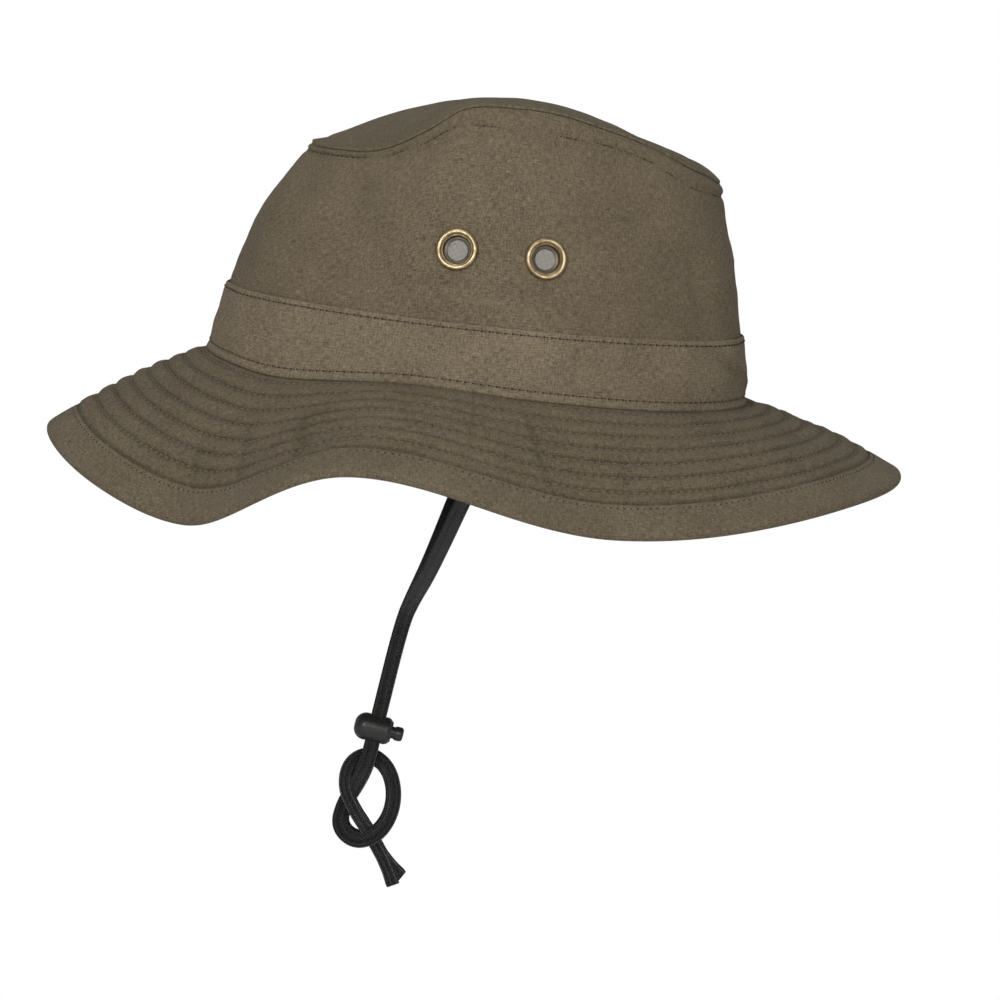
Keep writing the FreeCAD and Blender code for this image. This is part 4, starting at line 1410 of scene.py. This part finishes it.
add_cord_patches()

# ---------------------------------------------------------------- cord lock

LOCK_BACK, LOCK_MOUTH, LOCK_OUTER, LOCK_BORE, LOCK_FLOOR = 7.5, 7.3, 5.35, 3.45, 6.3
LOCK_ABOVE_KNOT, CORD_MIDDLE = 5.8, 0.9
SLOT_HALF = 2.4


def lock_place():
    """Where the lock's own axes lie: its plunger points back, square to the cord."""
    top, end = Vector(CORD_FALL[-3]), Vector(CORD_FALL[-1])
    top.x = end.x = 0
    up = (top - end).normalized()
    turn = Matrix.Rotation(math.radians(-90) - math.atan2(up.y, up.z), 4, "X")
    on_cord = end + up * LOCK_ABOVE_KNOT
    middle = on_cord - (turn @ Vector((0, 0, CORD_MIDDLE)))
    return Matrix.Translation(middle * MM) @ turn


def moulded(name, profile, slot_low, slot_high, reach):
    """A turned plastic piece with the cord's slot cut right through it."""
    piece = add_object(name, tidy_mesh(solid_lathed(name, profile)))
    cutter_mesh = bpy.data.meshes.new("slot_cutter")
    cutting = bmesh.new()
    bmesh.ops.create_cube(cutting, size=1.0)
    cutting.to_mesh(cutter_mesh)
    cutting.free()
    span = (slot_high - slot_low) * MM
    cutter_mesh.transform(Matrix.Translation((0, 0, (slot_low + slot_high) / 2 * MM))
                          @ Matrix.Diagonal((2 * SLOT_HALF * MM, 2 * reach * MM, span, 1)))
    cutter = add_object("slot_cutter", cutter_mesh)
    rounding = cutter.modifiers.new("rounding", "BEVEL")
    rounding.width = 0.5 * MM
    rounding.segments = 3
    settle(cutter)
    slot_cut = piece.modifiers.new("slot", "BOOLEAN")
    slot_cut.object = cutter
    slot_cut.operation = "DIFFERENCE"
    settle(piece)
    bpy.data.objects.remove(cutter)
    piece.data.transform(lock_place())
    tidy_mesh(piece.data, math.radians(35))
    return piece


def solid_lathed(name, profile, turns=64):
    """Solid turned about Z; the profile starts and ends on the axis."""
    points, faces = [Vector((0, 0, profile[0][1])) * MM, Vector((0, 0, profile[-1][1])) * MM], []
    rings = profile[1:-1]
    count = len(rings)
    for step in range(turns):
        angle = 2 * math.pi * step / turns
        points += [Vector((r * math.cos(angle), r * math.sin(angle), z)) * MM for r, z in rings]
    for step in range(turns):
        here, ahead = 2 + step * count, 2 + (step + 1) % turns * count
        faces.append((0, ahead, here))
        faces.append((1, here + count - 1, ahead + count - 1))
        for row in range(count - 1):
            faces.append((here + row, ahead + row, ahead + row + 1, here + row + 1))
    mesh = bpy.data.meshes.new(name)
    mesh.from_pydata(points, [], faces)
    return mesh


def add_lock():
    back = arc((0.95, -3.1), (4.4, 4.4), -90, 0, 13)
    mouth = arc((LOCK_OUTER - 2.6, LOCK_MOUTH - 2.6), (2.6, 2.6), 0, 62, 9)
    body = ([(0.0, -LOCK_BACK)] + back + [(LOCK_OUTER, -1.0), (LOCK_OUTER, 2.0)] + mouth
            + [(4.0, LOCK_MOUTH), (LOCK_BORE + 0.15, LOCK_MOUTH), (LOCK_BORE, LOCK_MOUTH - 0.2),
               (LOCK_BORE, -LOCK_FLOOR), (0.0, -LOCK_FLOOR)])
    barrel = moulded("cord_lock_barrel_shell", body, -2.3, 4.1, 8.0)
    place(barrel, "cord_lock", "lock_plastic", PLASTIC, ("cord_lock_barrel",))
    knob = arc((2.8 - 1.3, 11.9 - 1.3), (1.3, 1.3), 0, 90, 9)
    stem = ([(0.0, -2.9), (3.1, -2.9), (3.35, -2.65), (3.35, 6.85), (3.1, 7.1), (2.45, 7.3),
             (2.3, 7.9), (2.45, 8.5), (2.8, 9.0)] + knob + [(0.0, 11.9)])
    plunger = moulded("cord_lock_plunger_shell", stem, -2.3, 6.5, 6.0)
    place(plunger, "lock_plunger", "lock_plastic", PLASTIC, ("cord_lock_plunger",))
    for node, material in (("cord_lock_spring", STEEL), ("brim_interlining", FELT)):
        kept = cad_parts[node]
        kept.data.materials.clear()
        kept.data.materials.append(material)


add_lock()
